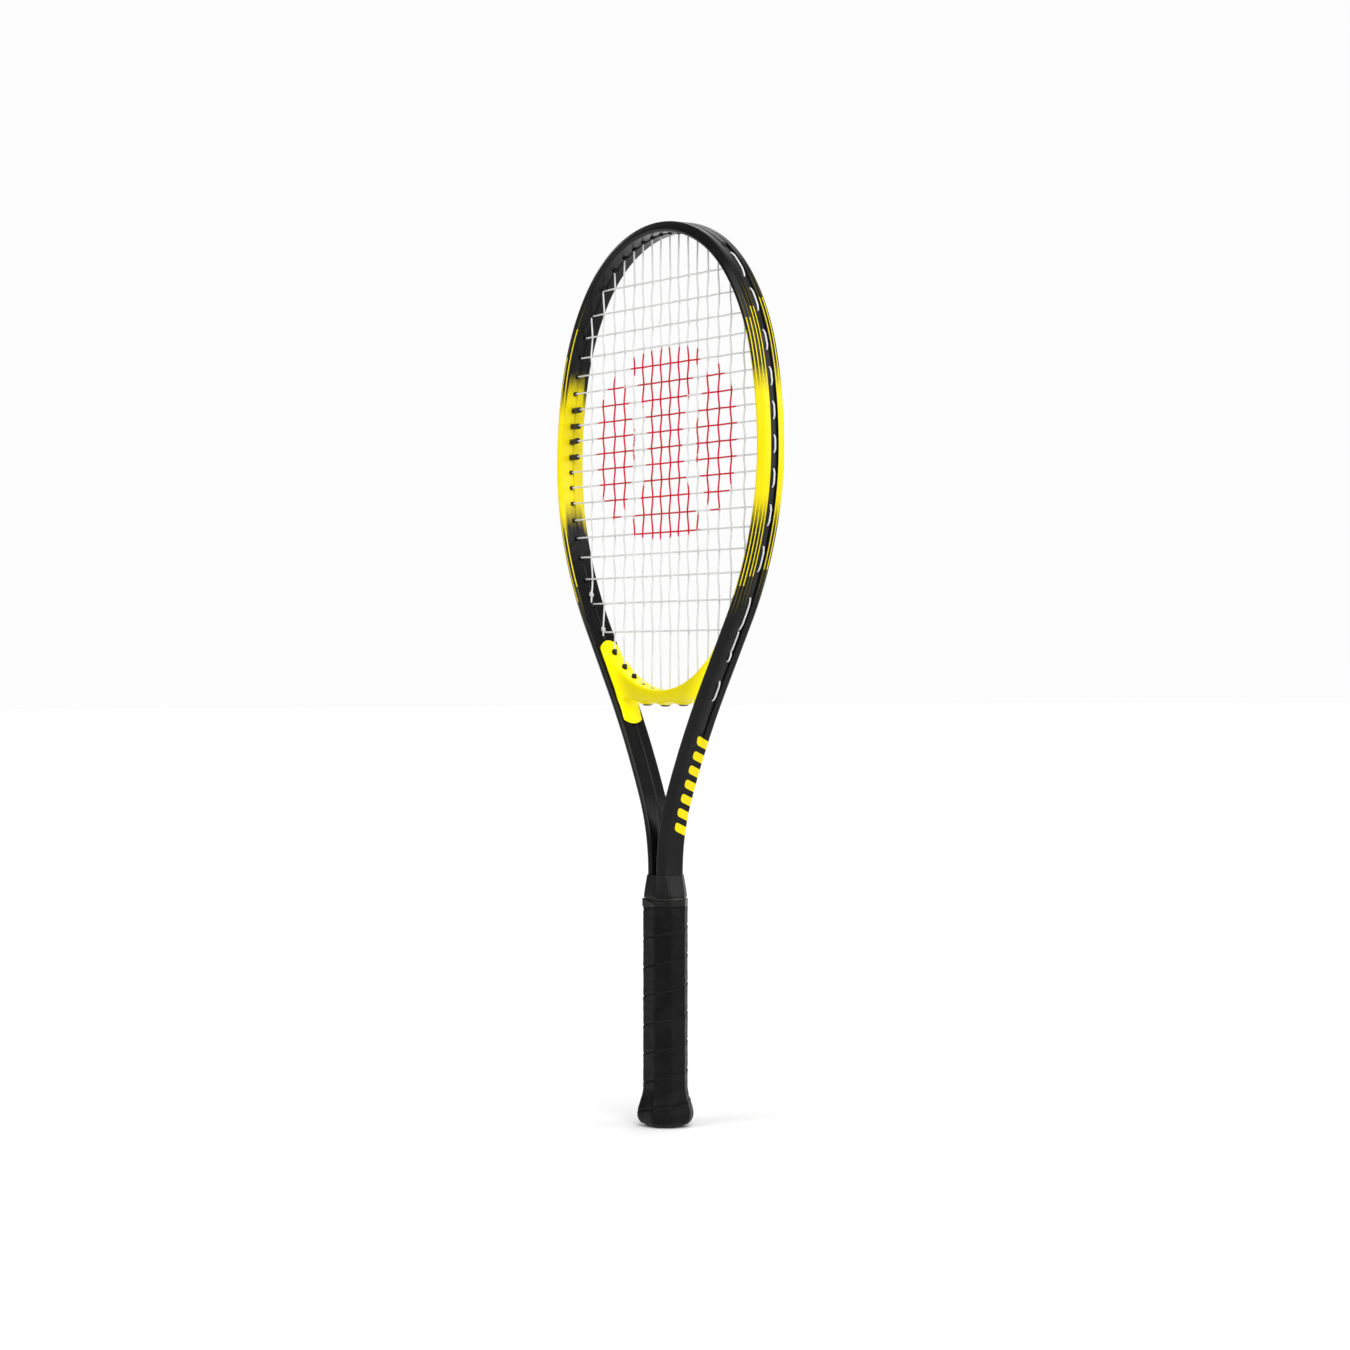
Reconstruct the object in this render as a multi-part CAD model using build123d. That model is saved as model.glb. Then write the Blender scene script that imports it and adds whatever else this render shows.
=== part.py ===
from build123d import *
import os
from math import asin, cos, hypot, pi, radians, sin, sqrt, tan

# An oversize tennis racket with a bent aluminium frame, in millimetres.
# +Z runs from the butt to the tip, X spans the head, Y goes through the string plane.
# The origin is the middle of the flat end of the butt.

LENGTH = 698.5

# Frame extrusion: two hollow lobes joined by a web, with a channel outside and a groove inside.
# U is the in-plane distance from the tube's centre line, positive away from the strings.
TUBE_HALF = 4.2
CORNER_R = 2.6
OUTER_CORNER_Y = 7.1
INNER_CORNER_Y = 9.1
WALL = 0.9
WEB_HALF = 3.8
CHANNEL_W = 5.7
CHANNEL_FLOOR_U = 1.6
GROOVE_W = 4.4
GROOVE_DEPTH = 0.9

# Head outline: each arc goes from one heading to the next, 0 at the tip and 90 where it runs down.
HEAD_ARCS = [(138.0, 24.0), (124.0, 50.0), (156.0, 75.0), (273.0, 92.0), (190.0, 104.0), (259.0, 123.4)]
THROAT_R = 630.0
THROAT_TURN = 8.9
YOKE_R = 139.0
SHAFT_X = 7.4
SHAFT_FOOT_Z = 38.0
CHANNEL_END_Z = 300.0

# Strings
STRING_D = 1.3
STRING_BORE = 2.1
WIDE_BORE = 2.7
NEAR_CROSSING = 4.0
BUSH_BORE = 2.62
WEAVE = 0.68
WEAVE_R = 6.0
LOOP_R = 1.0
STRAIGHT_DEG = 0.4
SIDE_STEP = 1.5
MAINS = 16
MAIN_PITCH = 12.4
MAIN_SPREAD = 0.0114
CROSSES = 19
CROSS_MID_Z = 525.0
CROSS_PITCH = 12.4
CROSS_SPREAD_TOP = 0.0083
CROSS_SPREAD_BOTTOM = 0.0141
SPREAD_POWER = 3.5
TIE_TAIL = 6.0
TIE_GAP = 1.5
KNOT_D = 4.8

# Grommets
STRIP_T = 1.2
STRIP_GAP = 0.1
BARREL_D = 3.3
BARREL_OUT = 1.3
TIE_BARREL_D = 4.2
SLEEVE_D = 4.9
SLEEVE_L = 10.0
SLEEVE_CROSSES = (7, 8, 9, 10)

# Throat bridge
BRIDGE_TOP_Z = 337.0
BRIDGE_TOP_R = 104.0
BRIDGE_UNDER_Z = 326.8
BRIDGE_HALF_Y = 8.4
NOTCH = (48.0, 329.5)
EAR_KNEE = (51.6, 324.5)
EAR_FOOT_Z = 309.5
BRIDGE_EDGE_R = 1.6
BRIDGE_MAINS = 3
ANGLED_EXITS = {3: (85.5, 358.5), 4: (76.8, 342.8), 5: (67.3, 328.8)}

# Handle
GRIP_X = 34.6
GRIP_Y = 31.0
CHAMFER_RATIO = 0.256
WRAP_T = 1.8
WRAP_TOP_Z = 169.6
WRAP_FOOT_Z = 2.2
TAPE_TOP_Z = 175.8
TAPE_EXTRA = 0.1
PALLET_TOP_Z = 176.0
SPIGOT_FOOT_Z = 13.0
FLARE_TOP_Z = 30.0
FLARE_Z = 8.8
FLARE = 8.4
BUTT_FLAT = 16.0
CAP_TOP_Z = 36.0
CAP_WALL = 1.3
CAP_FLOOR = 3.0
DOOR_D = 15.0
DOOR_T = 2.0
STAPLE_W = 10.0
STAPLE_WIRE = 1.0
STAPLE_LEG = 4.5
STAPLE_Z = 22.0

# Collar
COLLAR_FOOT_Z = 176.4
COLLAR_TOP_Z = 194.3
COLLAR_X = 33.0
COLLAR_Y = 29.6
COLLAR_LIP = 0.7
COLLAR_BORE = 24.1
COLLAR_CAVITY = 26.4
COLLAR_CAVITY_TOP_Z = 185.0
COLLAR_WALL = 1.5

TUBE_TOP_Z = LENGTH - TUBE_HALF
STRIP_TOP_U = CHANNEL_FLOOR_U + STRIP_T
LOOP_U = STRIP_TOP_U + STRING_D / 2 + 0.12
GROOVE_U = -TUBE_HALF + GROOVE_DEPTH


# ---------------------------------------------------------------- head outline

def outline():
    """The right half of the tube's centre line as arcs and lines: kind, start, radius, headings."""
    pieces = []
    x, z, heading = 0.0, TUBE_TOP_Z, 0.0
    for radius, end in HEAD_ARCS:
        cx = x - radius * sin(radians(heading))
        cz = z - radius * cos(radians(heading))
        pieces.append(("arc", radius, heading, end, cx, cz))
        x = cx + radius * sin(radians(end))
        z = cz + radius * cos(radians(end))
        heading = end
    bend = heading - THROAT_TURN
    drop = THROAT_R * (sin(radians(heading)) - sin(radians(bend)))
    drop += YOKE_R * (sin(radians(bend)) - 1.0)
    run = (SHAFT_X - x - drop) / cos(radians(heading))
    pieces.append(("line", run, heading, heading, x, z))
    x += run * cos(radians(heading))
    z -= run * sin(radians(heading))
    for radius, end in ((THROAT_R, bend), (YOKE_R, 90.0)):
        cx = x + radius * sin(radians(heading))
        cz = z + radius * cos(radians(heading))
        pieces.append(("reverse", radius, heading, end, cx, cz))
        x = cx - radius * sin(radians(end))
        z = cz - radius * cos(radians(end))
        heading = end
    pieces.append(("line", z - SHAFT_FOOT_Z, 90.0, 90.0, x, z))
    return pieces


OUTLINE = outline()


def station(t, offset=0.0):
    """The point at t along the half outline, where each piece is one unit, moved out by offset."""
    index = min(int(t), len(OUTLINE) - 1)
    kind, size, start, end, px, pz = OUTLINE[index]
    part = t - index
    heading = radians(start + (end - start) * part)
    if kind == "arc":
        return px + (size + offset) * sin(heading), pz + (size + offset) * cos(heading)
    if kind == "reverse":
        return px - (size - offset) * sin(heading), pz - (size - offset) * cos(heading)
    along = size * part
    x = px + along * cos(heading) + offset * sin(heading)
    z = pz - along * sin(heading) + offset * cos(heading)
    return x, z


WIDEST_T = 3.0 + (90.0 - HEAD_ARCS[2][1]) / (HEAD_ARCS[3][1] - HEAD_ARCS[2][1])


def solve(value, axis, low, high, offset):
    """The t between low and high where x (axis 0) or z (axis 1) takes the value."""
    rising = station(high, offset)[axis] > station(low, offset)[axis]
    for _ in range(50):
        middle = (low + high) / 2
        if (station(middle, offset)[axis] < value) == rising:
            low = middle
        else:
            high = middle
    return low


def head_x(z, offset):
    return station(solve(z, 1, 0.0, len(OUTLINE), offset), offset)[0]


def top_z(x, offset):
    return station(solve(abs(x), 0, 0.0, WIDEST_T, offset), offset)[1]


def bottom_z(x, offset):
    return station(solve(abs(x), 0, WIDEST_T, len(OUTLINE) - 1.0, offset), offset)[1]


def outline_wire(offset, end_t, start_t=0.0, mirrored=True):
    """A wire along the outline, from start_t to end_t on the right and its mirror on the left."""
    edges = []
    for index, (kind, size, start, end, px, pz) in enumerate(OUTLINE):
        low, high = max(start_t - index, 0.0), min(end_t - index, 1.0)
        if high <= low:
            continue
        a, m, b = (station(index + v, offset) for v in (low, (low + high) / 2, high - 1e-9))
        for side in ((1, -1) if mirrored else (1,)):
            points = [(side * p[0], 0, p[1]) for p in (a, m, b)]
            if kind == "line":
                edges.append(Line(points[0], points[2]))
            else:
                edges.append(ThreePointArc(*points))
    return Wire(edges)


def section_plane(path):
    """A plane at the start of a path in XZ, with its x axis pointing away from the strings."""
    start, along = path.position_at(0), path.tangent_at(0)
    outward = along.cross(Vector(0, 1, 0))
    return Plane(origin=start, x_dir=outward, z_dir=along)


# ---------------------------------------------------------------- string layout

def main_x(number):
    """The x of a main string, numbered 1 to 16 from the left."""
    steps = number - (MAINS + 1) / 2
    spread = MAIN_PITCH * abs(steps) + MAIN_SPREAD * abs(steps) ** SPREAD_POWER
    return spread if steps > 0 else -spread


def cross_z(number):
    """The z of a cross string, numbered 1 to 19 from the tip."""
    steps = (CROSSES + 1) / 2 - number
    growth = CROSS_SPREAD_TOP if steps > 0 else -CROSS_SPREAD_BOTTOM
    return CROSS_MID_Z + CROSS_PITCH * steps + growth * abs(steps) ** SPREAD_POWER


def bridge_top_z(x):
    return BRIDGE_TOP_Z + BRIDGE_TOP_R - sqrt(BRIDGE_TOP_R ** 2 - x ** 2)


def side_number(number):
    """The number of the main on the left half that matches this one."""
    return min(number, MAINS + 1 - number)


def main_ends(number, offset=LOOP_U):
    """The points where a main string leaves the frame: at the tip and at the throat."""
    x = main_x(number)
    side = 1 if x > 0 else -1
    top = (x, top_z(x, offset))
    pair = side_number(number)
    if pair < BRIDGE_MAINS:
        return top, (x, bottom_z(x, offset))
    if pair in ANGLED_EXITS:
        ex, ez = ANGLED_EXITS[pair]
        return top, (side * head_x(ez, offset), ez)
    return top, (x, BRIDGE_UNDER_Z - STRING_D / 2 - 0.15)


def weave_side(main, cross):
    """1 where the main passes behind the cross, towards +Y."""
    return 1 if (main + cross) % 2 == 0 else -1


def crosses_inside(main, cross):
    """Whether a main and a cross meet inside the head, at the latest in the tube's groove."""
    return abs(main_x(main)) < head_x(cross_z(cross), GROOVE_U)


def woven_main(number):
    """The points of one main from the throat up to the tip, over and under each cross."""
    x = main_x(number)
    top, bottom = main_ends(number)
    heights = [cross_z(c) for c in range(CROSSES, 0, -1) if crosses_inside(number, c)]
    points = [(bottom[0], 0, bottom[1])]
    if side_number(number) < BRIDGE_MAINS:
        mouth = bottom_z(x, -TUBE_HALF)
    else:
        mouth = bridge_top_z(x)
    if heights[0] - mouth > NEAR_CROSSING:
        points.append((x, 0, mouth + BARREL_OUT + 0.7))
    for cross in range(CROSSES, 0, -1):
        if crosses_inside(number, cross):
            points.append((x, WEAVE * weave_side(number, cross), cross_z(cross)))
    mouth = top_z(x, -TUBE_HALF)
    if mouth - heights[-1] > NEAR_CROSSING:
        points.append((x, 0, mouth - BARREL_OUT - 0.7))
    points.append((top[0], 0, top[1]))
    return points


def cross_guard(number):
    """How far in from the frame a cross stays level: past its barrel or its sleeve."""
    return SLEEVE_L + 0.6 if number in SLEEVE_CROSSES else BARREL_OUT + 0.7


def woven_cross(number):
    """The points of one cross from the left to the right."""
    z = cross_z(number)
    reach = head_x(z, LOOP_U)
    mouth = head_x(z, -TUBE_HALF)
    mains = [m for m in range(1, MAINS + 1) if crosses_inside(m, number)]
    levelled = mouth - main_x(mains[-1]) > NEAR_CROSSING
    points = [(-reach, 0, z)]
    if levelled:
        points.append((cross_guard(number) - mouth, 0, z))
    for main in mains:
        points.append((main_x(main), -WEAVE * weave_side(main, number), z))
    if levelled:
        points.append((mouth - cross_guard(number), 0, z))
    points.append((reach, 0, z))
    return points


def outline_t(x, z):
    """The place along the half outline of a point that lies on the string loops' line."""
    if z > station(WIDEST_T, LOOP_U)[1]:
        return solve(abs(x), 0, 0.0, WIDEST_T, LOOP_U)
    return solve(abs(x), 0, WIDEST_T, len(OUTLINE) - 1.0, LOOP_U)


def channel_loop(a, b, y=0.0):
    """The points between two holes on a loop that follows the channel's floor."""
    if min(a[2], b[2]) < BRIDGE_UNDER_Z:
        return []
    start, end = outline_t(a[0], a[2]), outline_t(b[0], b[2])
    start = start if a[0] > 0 else -start
    end = end if b[0] > 0 else -end
    steps = max(2, round(hypot(b[0] - a[0], b[2] - a[2]) / 5.0))
    points = []
    for step in range(1, steps):
        share = step / steps
        t = start + (end - start) * share
        x, z = station(abs(t), LOOP_U + 0.05)
        sideways = y * min(1.0, 3.0 * share, 3.0 * (1.0 - share))
        points.append((x if t > 0 else -x, sideways, z))
    return points


def filleted_path(points):
    """Straight runs with a gentle arc at each crossing and a tight one where the string turns."""
    corners = [Vector(*points[0])]
    for here, after in zip(points[1:], points[2:]):
        before, here, after = corners[-1], Vector(*here), Vector(*after)
        if (here - before).get_angle(after - here) > STRAIGHT_DEG:
            corners.append(here)
    corners.append(Vector(*points[-1]))
    radii = []
    for before, here, after in zip(corners, corners[1:], corners[2:]):
        turn = radians((here - before).get_angle(after - here))
        run = min((here - before).length, (after - here).length)
        limit = 0.45 * run / tan(turn / 2)
        radii.append(min(limit, WEAVE_R if turn < radians(25) else LOOP_R))
    return FilletPolyline(*corners, radius=radii)


def round_sweep(path, diameter):
    profile = Plane(origin=path @ 0, z_dir=path % 0) * Circle(diameter / 2)
    return sweep(profile, path=path)


def tail_into(number, bottom, inward):
    """The tail of a string that goes back in beside a main: its turn and its end."""
    x = main_x(number)
    side = 1 if x > 0 else -1
    beside = x + inward * side * TIE_GAP
    if bottom:
        z = bottom_z(beside, LOOP_U)
        end = bottom_z(beside, GROOVE_U) + TIE_TAIL + BARREL_OUT
    else:
        z = top_z(beside, LOOP_U)
        end = top_z(beside, GROOVE_U) - TIE_TAIL - BARREL_OUT
    return [(beside, 0, z), (beside, 0, end)]


def make_main_string():
    """One length: from a tie-off, up and down every main, to the other tie-off."""
    points = []
    for number in range(1, MAINS + 1):
        run = woven_main(number)
        if number % 2 == 0:
            run.reverse()
        if points:
            aside = -SIDE_STEP if number in (2, MAINS) else 0.0
            points += channel_loop(points[-1], run[0], aside)
        points += run
    left_exit, right_exit = points[0], points[-1]
    left_tail = tail_into(2, True, 1)
    right_tail = tail_into(MAINS - 1, True, 1)
    left = left_tail[::-1] + channel_loop(left_tail[0], left_exit, -SIDE_STEP)
    right = channel_loop(right_exit, right_tail[0], -SIDE_STEP) + right_tail
    path = filleted_path(left + points + right)
    return round_sweep(path, STRING_D)


def make_cross_string():
    """One length: from the tie-off at the tip, across and back, to the tie-off at the throat."""
    points = []
    for number in range(1, CROSSES + 1):
        run = woven_cross(number)
        if number % 2 == 1:
            run.reverse()
        if points:
            aside = SIDE_STEP if number in (2, CROSSES) else 0.0
            points += channel_loop(points[-1], run[0], aside)
        points += run
    first_tail = tail_into(MAINS - 1, False, 1)
    last_tail = tail_into(1, True, 1)
    first = first_tail[::-1] + channel_loop(first_tail[0], points[0], SIDE_STEP)
    last = channel_loop(points[-1], last_tail[0], SIDE_STEP) + last_tail
    path = filleted_path(first + points + last)
    return round_sweep(path, STRING_D)


# ---------------------------------------------------------------- frame

def lobe_hull(radius, near_y):
    """The hull of four corner circles in the right (+Y) lobe of the section."""
    low = CORNER_R - TUBE_HALF
    circles = [(-low, OUTER_CORNER_Y), (low, INNER_CORNER_Y), (low, near_y), (-low, near_y)]
    edges = ShapeList()
    for x, y in circles:
        edges += (Pos(x, y) * Circle(radius)).edges()
    return make_hull(edges)


def tube_section(hollow=True):
    """The extrusion's section without its outer channel."""
    low = CORNER_R - TUBE_HALF
    edges = ShapeList()
    for y in (-1, 1):
        edges += (Pos(-low, y * OUTER_CORNER_Y) * Circle(CORNER_R)).edges()
        edges += (Pos(low, y * INNER_CORNER_Y) * Circle(CORNER_R)).edges()
    section = make_hull(edges)
    if hollow:
        void = lobe_hull(CORNER_R - WALL, WEB_HALF + CORNER_R - WALL)
        section -= void
        section -= mirror(void, about=Plane.XZ)
        section -= Pos(-TUBE_HALF, 0) * Rectangle(2 * GROOVE_DEPTH, GROOVE_W)
    return section


def sweep_section(section, path):
    return sweep(section_plane(path) * section, path=path)


def channel_end_t():
    return solve(CHANNEL_END_Z, 1, 0.0, len(OUTLINE), 0.0)


def bore(a, b, diameter, extend=0.0):
    """A round rod from a to b, lengthened by extend at both ends."""
    start, end = Vector(*a), Vector(*b)
    along = (end - start).normalized()
    start = start - along * extend
    length = (end - start).length + extend
    return Solid.make_cylinder(diameter / 2, length, Plane(origin=start, z_dir=along))


def throat_mouth(start, end, offset):
    """The point of a slanted run, from start to end, that lies at an offset from the tube."""
    low, high = 0.0, 1.0
    for _ in range(40):
        middle = (low + high) / 2
        x = start[0] + (end[0] - start[0]) * middle
        z = start[1] + (end[1] - start[1]) * middle
        if abs(x) < head_x(z, offset):
            low = middle
        else:
            high = middle
    return x, 0, z


def near_crossing(kind, number):
    """Whether a string has a crossing right at the mouth of this hole."""
    if kind == "throat":
        return False
    if kind == "cross":
        mains = [main_x(m) for m in range(1, MAINS + 1) if crosses_inside(m, number)]
        return head_x(cross_z(number), -TUBE_HALF) - mains[-1] <= NEAR_CROSSING
    x = main_x(number)
    heights = [cross_z(c) for c in range(1, CROSSES + 1) if crosses_inside(number, c)]
    if kind == "top":
        return top_z(x, -TUBE_HALF) - heights[0] <= NEAR_CROSSING
    return heights[-1] - bottom_z(x, -TUBE_HALF) <= NEAR_CROSSING


def string_holes():
    """Each hole through the tube: its name, inner point, outer point and whether it ties off."""
    holes = []
    for number in range(1, CROSSES + 1):
        z = cross_z(number)
        for side in (-1, 1):
            inner = (side * head_x(z, GROOVE_U), 0, z)
            outer = (side * head_x(z, STRIP_TOP_U), 0, z)
            holes.append(("cross", side, number, inner, outer))
    for number in range(1, MAINS + 1):
        x = main_x(number)
        side = 1 if x > 0 else -1
        inner = (x, 0, top_z(x, GROOVE_U))
        outer = (x, 0, top_z(x, STRIP_TOP_U))
        holes.append(("top", side, number, inner, outer))
        pair = side_number(number)
        if pair < BRIDGE_MAINS:
            inner = (x, 0, bottom_z(x, GROOVE_U))
            outer = (x, 0, bottom_z(x, STRIP_TOP_U))
            holes.append(("bottom", side, number, inner, outer))
        elif pair in ANGLED_EXITS:
            end = main_ends(number)[1]
            start = (x, bridge_top_z(x) + 1.0)
            inner = throat_mouth(start, end, GROOVE_U)
            outer = throat_mouth(start, end, STRIP_TOP_U)
            holes.append(("throat", side, number, inner, outer))
    return holes


TIE_HOLES = {("bottom", 2): 1, ("bottom", MAINS - 1): 1, ("top", MAINS - 1): 1, ("bottom", 1): 1}


def tie_shift(kind, number):
    """How far the second bore of a tie-off hole stands from the first, along X."""
    if (kind, number) not in TIE_HOLES:
        return 0.0
    return TIE_GAP if main_x(number) > 0 else -TIE_GAP


def barrel_pose(hole, diameter_single, diameter_tie):
    """The axis of a hole's barrel: a tie-off barrel is wider and centred between two strings."""
    kind, side, number, inner, outer = hole
    shift = tie_shift(kind, number)
    if shift:
        inner = (inner[0] + shift / 2, 0, inner[2])
        outer = (outer[0] + shift / 2, 0, outer[2])
        return inner, outer, diameter_tie
    return inner, outer, diameter_single


def make_frame_tube():
    path = outline_wire(0.0, len(OUTLINE))
    tube = sweep_section(tube_section(), path)
    channel_path = outline_wire(0.0, channel_end_t())
    floor_to_rim = TUBE_HALF - CHANNEL_FLOOR_U + 1.0
    channel = Pos(CHANNEL_FLOOR_U + floor_to_rim / 2, 0) * Rectangle(floor_to_rim, CHANNEL_W)
    tube -= sweep_section(channel, channel_path)
    for hole in string_holes():
        inner, outer, diameter = barrel_pose(hole, BARREL_D, TIE_BARREL_D)
        tube -= bore(inner, outer, diameter, 2.5)
    return tube


def strip_body(start_t, end_t, mirrored, side):
    path = outline_wire(0.0, end_t, start_t, mirrored)
    profile = Pos(CHANNEL_FLOOR_U + STRIP_T / 2, 0) * Rectangle(STRIP_T, CHANNEL_W - 2 * STRIP_GAP)
    body = sweep_section(profile, path)
    return body if side > 0 else mirror(body, about=Plane.YZ)


def with_barrels(strip, holes):
    """Adds the barrels to a strip and opens their bores."""
    barrels, bores = [], []
    for hole in holes:
        kind, side, number, inner, outer = hole
        a, b, diameter = barrel_pose(hole, BARREL_D, TIE_BARREL_D)
        reach = Vector(*b) - Vector(*a)
        along = reach.normalized()
        near = near_crossing(kind, number)
        inward = BARREL_OUT + GROOVE_DEPTH
        if kind == "throat" or (kind == "cross" and number in SLEEVE_CROSSES):
            inward = 0.3
        if near:
            inward = -3.0
        start = Vector(*a) - along * inward
        barrels.append(bore(tuple(start), tuple(Vector(*b) - along * 0.4), diameter - 0.1))
        bores.append(bore(inner, outer, WIDE_BORE if near else STRING_BORE, 6.0))
        shift = tie_shift(kind, number)
        if shift:
            second = [(p[0] + shift, 0, p[2]) for p in (inner, outer)]
            bores.append(bore(second[0], second[1], STRING_BORE, 6.0))
    for barrel in barrels:
        strip += barrel
    for rod in bores:
        strip -= rod
    return strip


HEAD_STRIP_END_T = 1.55


def is_head_hole(hole):
    x, _, z = hole[3]
    return hole[0] == "top" and z > station(HEAD_STRIP_END_T, 0.0)[1]


def make_grommet_strips():
    head = strip_body(0.0, HEAD_STRIP_END_T, True, 1)
    holes = string_holes()
    strips = {"grommet_strip_head": with_barrels(head, [h for h in holes if is_head_hole(h)])}
    for name, side in (("grommet_strip_left", -1), ("grommet_strip_right", 1)):
        body = strip_body(HEAD_STRIP_END_T + 0.003, channel_end_t() - 0.01, False, side)
        mine = [h for h in holes if h[1] == side and not is_head_hole(h)]
        strips[name] = with_barrels(body, mine)
    return strips


def make_shock_sleeves():
    sleeves = {}
    for order, number in enumerate(SLEEVE_CROSSES, start=1):
        z = cross_z(number)
        reach = head_x(z, -TUBE_HALF) - 0.08
        for name, side in (("left", -1), ("right", 1)):
            a, b = (side * reach, 0, z), (side * (reach - SLEEVE_L), 0, z)
            sleeve = bore(a, b, SLEEVE_D) - bore(a, b, STRING_D + 0.3, 1.0)
            sleeves[f"shock_sleeve_{name}_{order}"] = sleeve
    return sleeves


# ---------------------------------------------------------------- throat bridge

def bridge_half_outline():
    """The right half of the bridge seen from the front, run on into the tube that trims it."""
    top_x = 82.0
    tube_top = (head_x(372.0, 0.0), 372.0)
    tube_foot = (head_x(EAR_FOOT_Z, 0.0), EAR_FOOT_Z)
    foot = (head_x(EAR_FOOT_Z, -TUBE_HALF) - 0.8, EAR_FOOT_Z)
    middle = top_x / 2
    edges = [
        ThreePointArc((0, BRIDGE_TOP_Z), (middle, bridge_top_z(middle)), (top_x, bridge_top_z(top_x))),
        Line((top_x, bridge_top_z(top_x)), tube_top),
        Line(tube_top, tube_foot),
        Line(tube_foot, foot),
        Line(foot, EAR_KNEE),
        ThreePointArc(EAR_KNEE, (EAR_KNEE[0] - 0.6, NOTCH[1] - 1.0), NOTCH),
        ThreePointArc(NOTCH, (NOTCH[0] * 0.5, BRIDGE_UNDER_Z + 0.9), (0, BRIDGE_UNDER_Z)),
        Line((0, BRIDGE_UNDER_Z), (0, BRIDGE_TOP_Z)),
    ]
    return make_face(edges)


def make_throat_bridge(tube_envelope):
    front = Plane(origin=(0, BRIDGE_HALF_Y, 0), x_dir=(1, 0, 0), z_dir=(0, -1, 0))
    half = extrude(front * bridge_half_outline(), amount=2 * BRIDGE_HALF_Y)
    body = half + mirror(half, about=Plane.YZ)
    for number in range(6, MAINS - 4, 2):
        middle = (main_x(number) + main_x(number + 1)) / 2
        width = main_x(number + 1) - main_x(number) + 5.0
        pad = Pos(middle, 0, BRIDGE_UNDER_Z + 1.0) * Box(width, 6.0, 4.6)
        pad = fillet(pad.edges().filter_by(Axis.Y), 1.5)
        slot_depth = STRING_D + 0.35
        slot = Pos(middle, 0, BRIDGE_UNDER_Z - 1.3 + slot_depth / 2 - 0.4)
        body += pad
        body -= slot * Box(width - 5.0 + STRING_BORE, STRING_BORE + 0.3, slot_depth + 0.8)
    body -= tube_envelope
    drills = []
    for number in range(BRIDGE_MAINS, MAINS - BRIDGE_MAINS + 2):
        x = main_x(number)
        bottom = main_ends(number)[1]
        top = (x, 0, bridge_top_z(x) + 1.0)
        foot = (bottom[0], 0, bottom[1])
        drills.append(bore(top, foot, BUSH_BORE, 3.0))
        drills.append(bore((x, 0, bridge_top_z(x) - 4.0), (x, 0, bridge_top_z(x) + 8.0), BARREL_D))
    return body - drills


def make_bridge_grommets():
    """A flanged bush in each of the bridge's string holes."""
    bushes = []
    for number in range(BRIDGE_MAINS, MAINS - BRIDGE_MAINS + 2):
        x = main_x(number)
        z = bridge_top_z(x)
        bush = bore((x, 0, z - 3.9), (x, 0, z + 1.6), BARREL_D - 0.1)
        bush -= bore((x, 0, z - 1.0), (x, 0, z + 4.0), BUSH_BORE, 1.0)
        bottom = main_ends(number)[1]
        bush -= bore((x, 0, z + 1.0), (bottom[0], 0, bottom[1]), BUSH_BORE, 0.5)
        bushes.append(bush)
    return Compound(children=bushes)


def make_string_knots():
    """A knot on each tail, drawn tight on the main beside it, just inside the frame."""
    knots = []
    for kind, number in TIE_HOLES:
        shift = tie_shift(kind, number)
        x = main_x(number)
        beside = x + shift
        inward = BARREL_OUT + GROOVE_DEPTH + KNOT_D / 2 + 0.7
        if kind == "bottom":
            z = bottom_z(beside, GROOVE_U) + inward
        else:
            z = top_z(beside, GROOVE_U) - inward
        knot = Pos(x + shift / 2, 0, z) * Sphere(KNOT_D / 2)
        knot -= Pos(x, 0, z) * Cylinder(WIDE_BORE / 2, 3 * KNOT_D)
        knot -= Pos(beside, 0, z) * Cylinder(STRING_D / 2 + 0.2, 3 * KNOT_D)
        knots.append(knot)
    return Compound(children=knots)


# ---------------------------------------------------------------- handle

def octagon(x_size, y_size):
    """The handle's section: a rectangle with its corners cut at 45 degrees."""
    cut = CHAMFER_RATIO * x_size
    return Plane.XY * chamfer(Rectangle(x_size, y_size).vertices(), cut)


def handle_size(z, inset):
    """The width and depth of the handle at z, measured inset inside the wrap's outer face."""
    if z >= FLARE_TOP_Z:
        grow = 0.0
    elif z >= FLARE_Z:
        share = (FLARE_TOP_Z - z) / (FLARE_TOP_Z - FLARE_Z)
        grow = FLARE * share * share * (3 - 2 * share)
    else:
        share = (FLARE_Z - z) / FLARE_Z
        grow = FLARE - BUTT_FLAT * (1 - sqrt(1 - share * share))
    return GRIP_X + grow - 2 * inset, GRIP_Y + grow - 2 * inset


def handle_solid(inset, low, high):
    """The handle's outer form between two heights, lofted through its sections."""
    steps = [0.0, 0.5, 1.4, 2.8, 5.4, FLARE_Z, 12.0, 16.0, 20.0, 24.0, FLARE_TOP_Z]
    heights = [low] + [z for z in steps if low + 0.2 < z < high - 0.2] + [high]
    faces = []
    for z in heights:
        size = handle_size(z, inset)
        faces.append(Pos(0, 0, z) * octagon(*size))
    return loft(faces, ruled=True)


def straight_handle(inset, low, high):
    section = octagon(GRIP_X - 2 * inset, GRIP_Y - 2 * inset)
    return extrude(Pos(0, 0, low) * section, amount=high - low)


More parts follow.
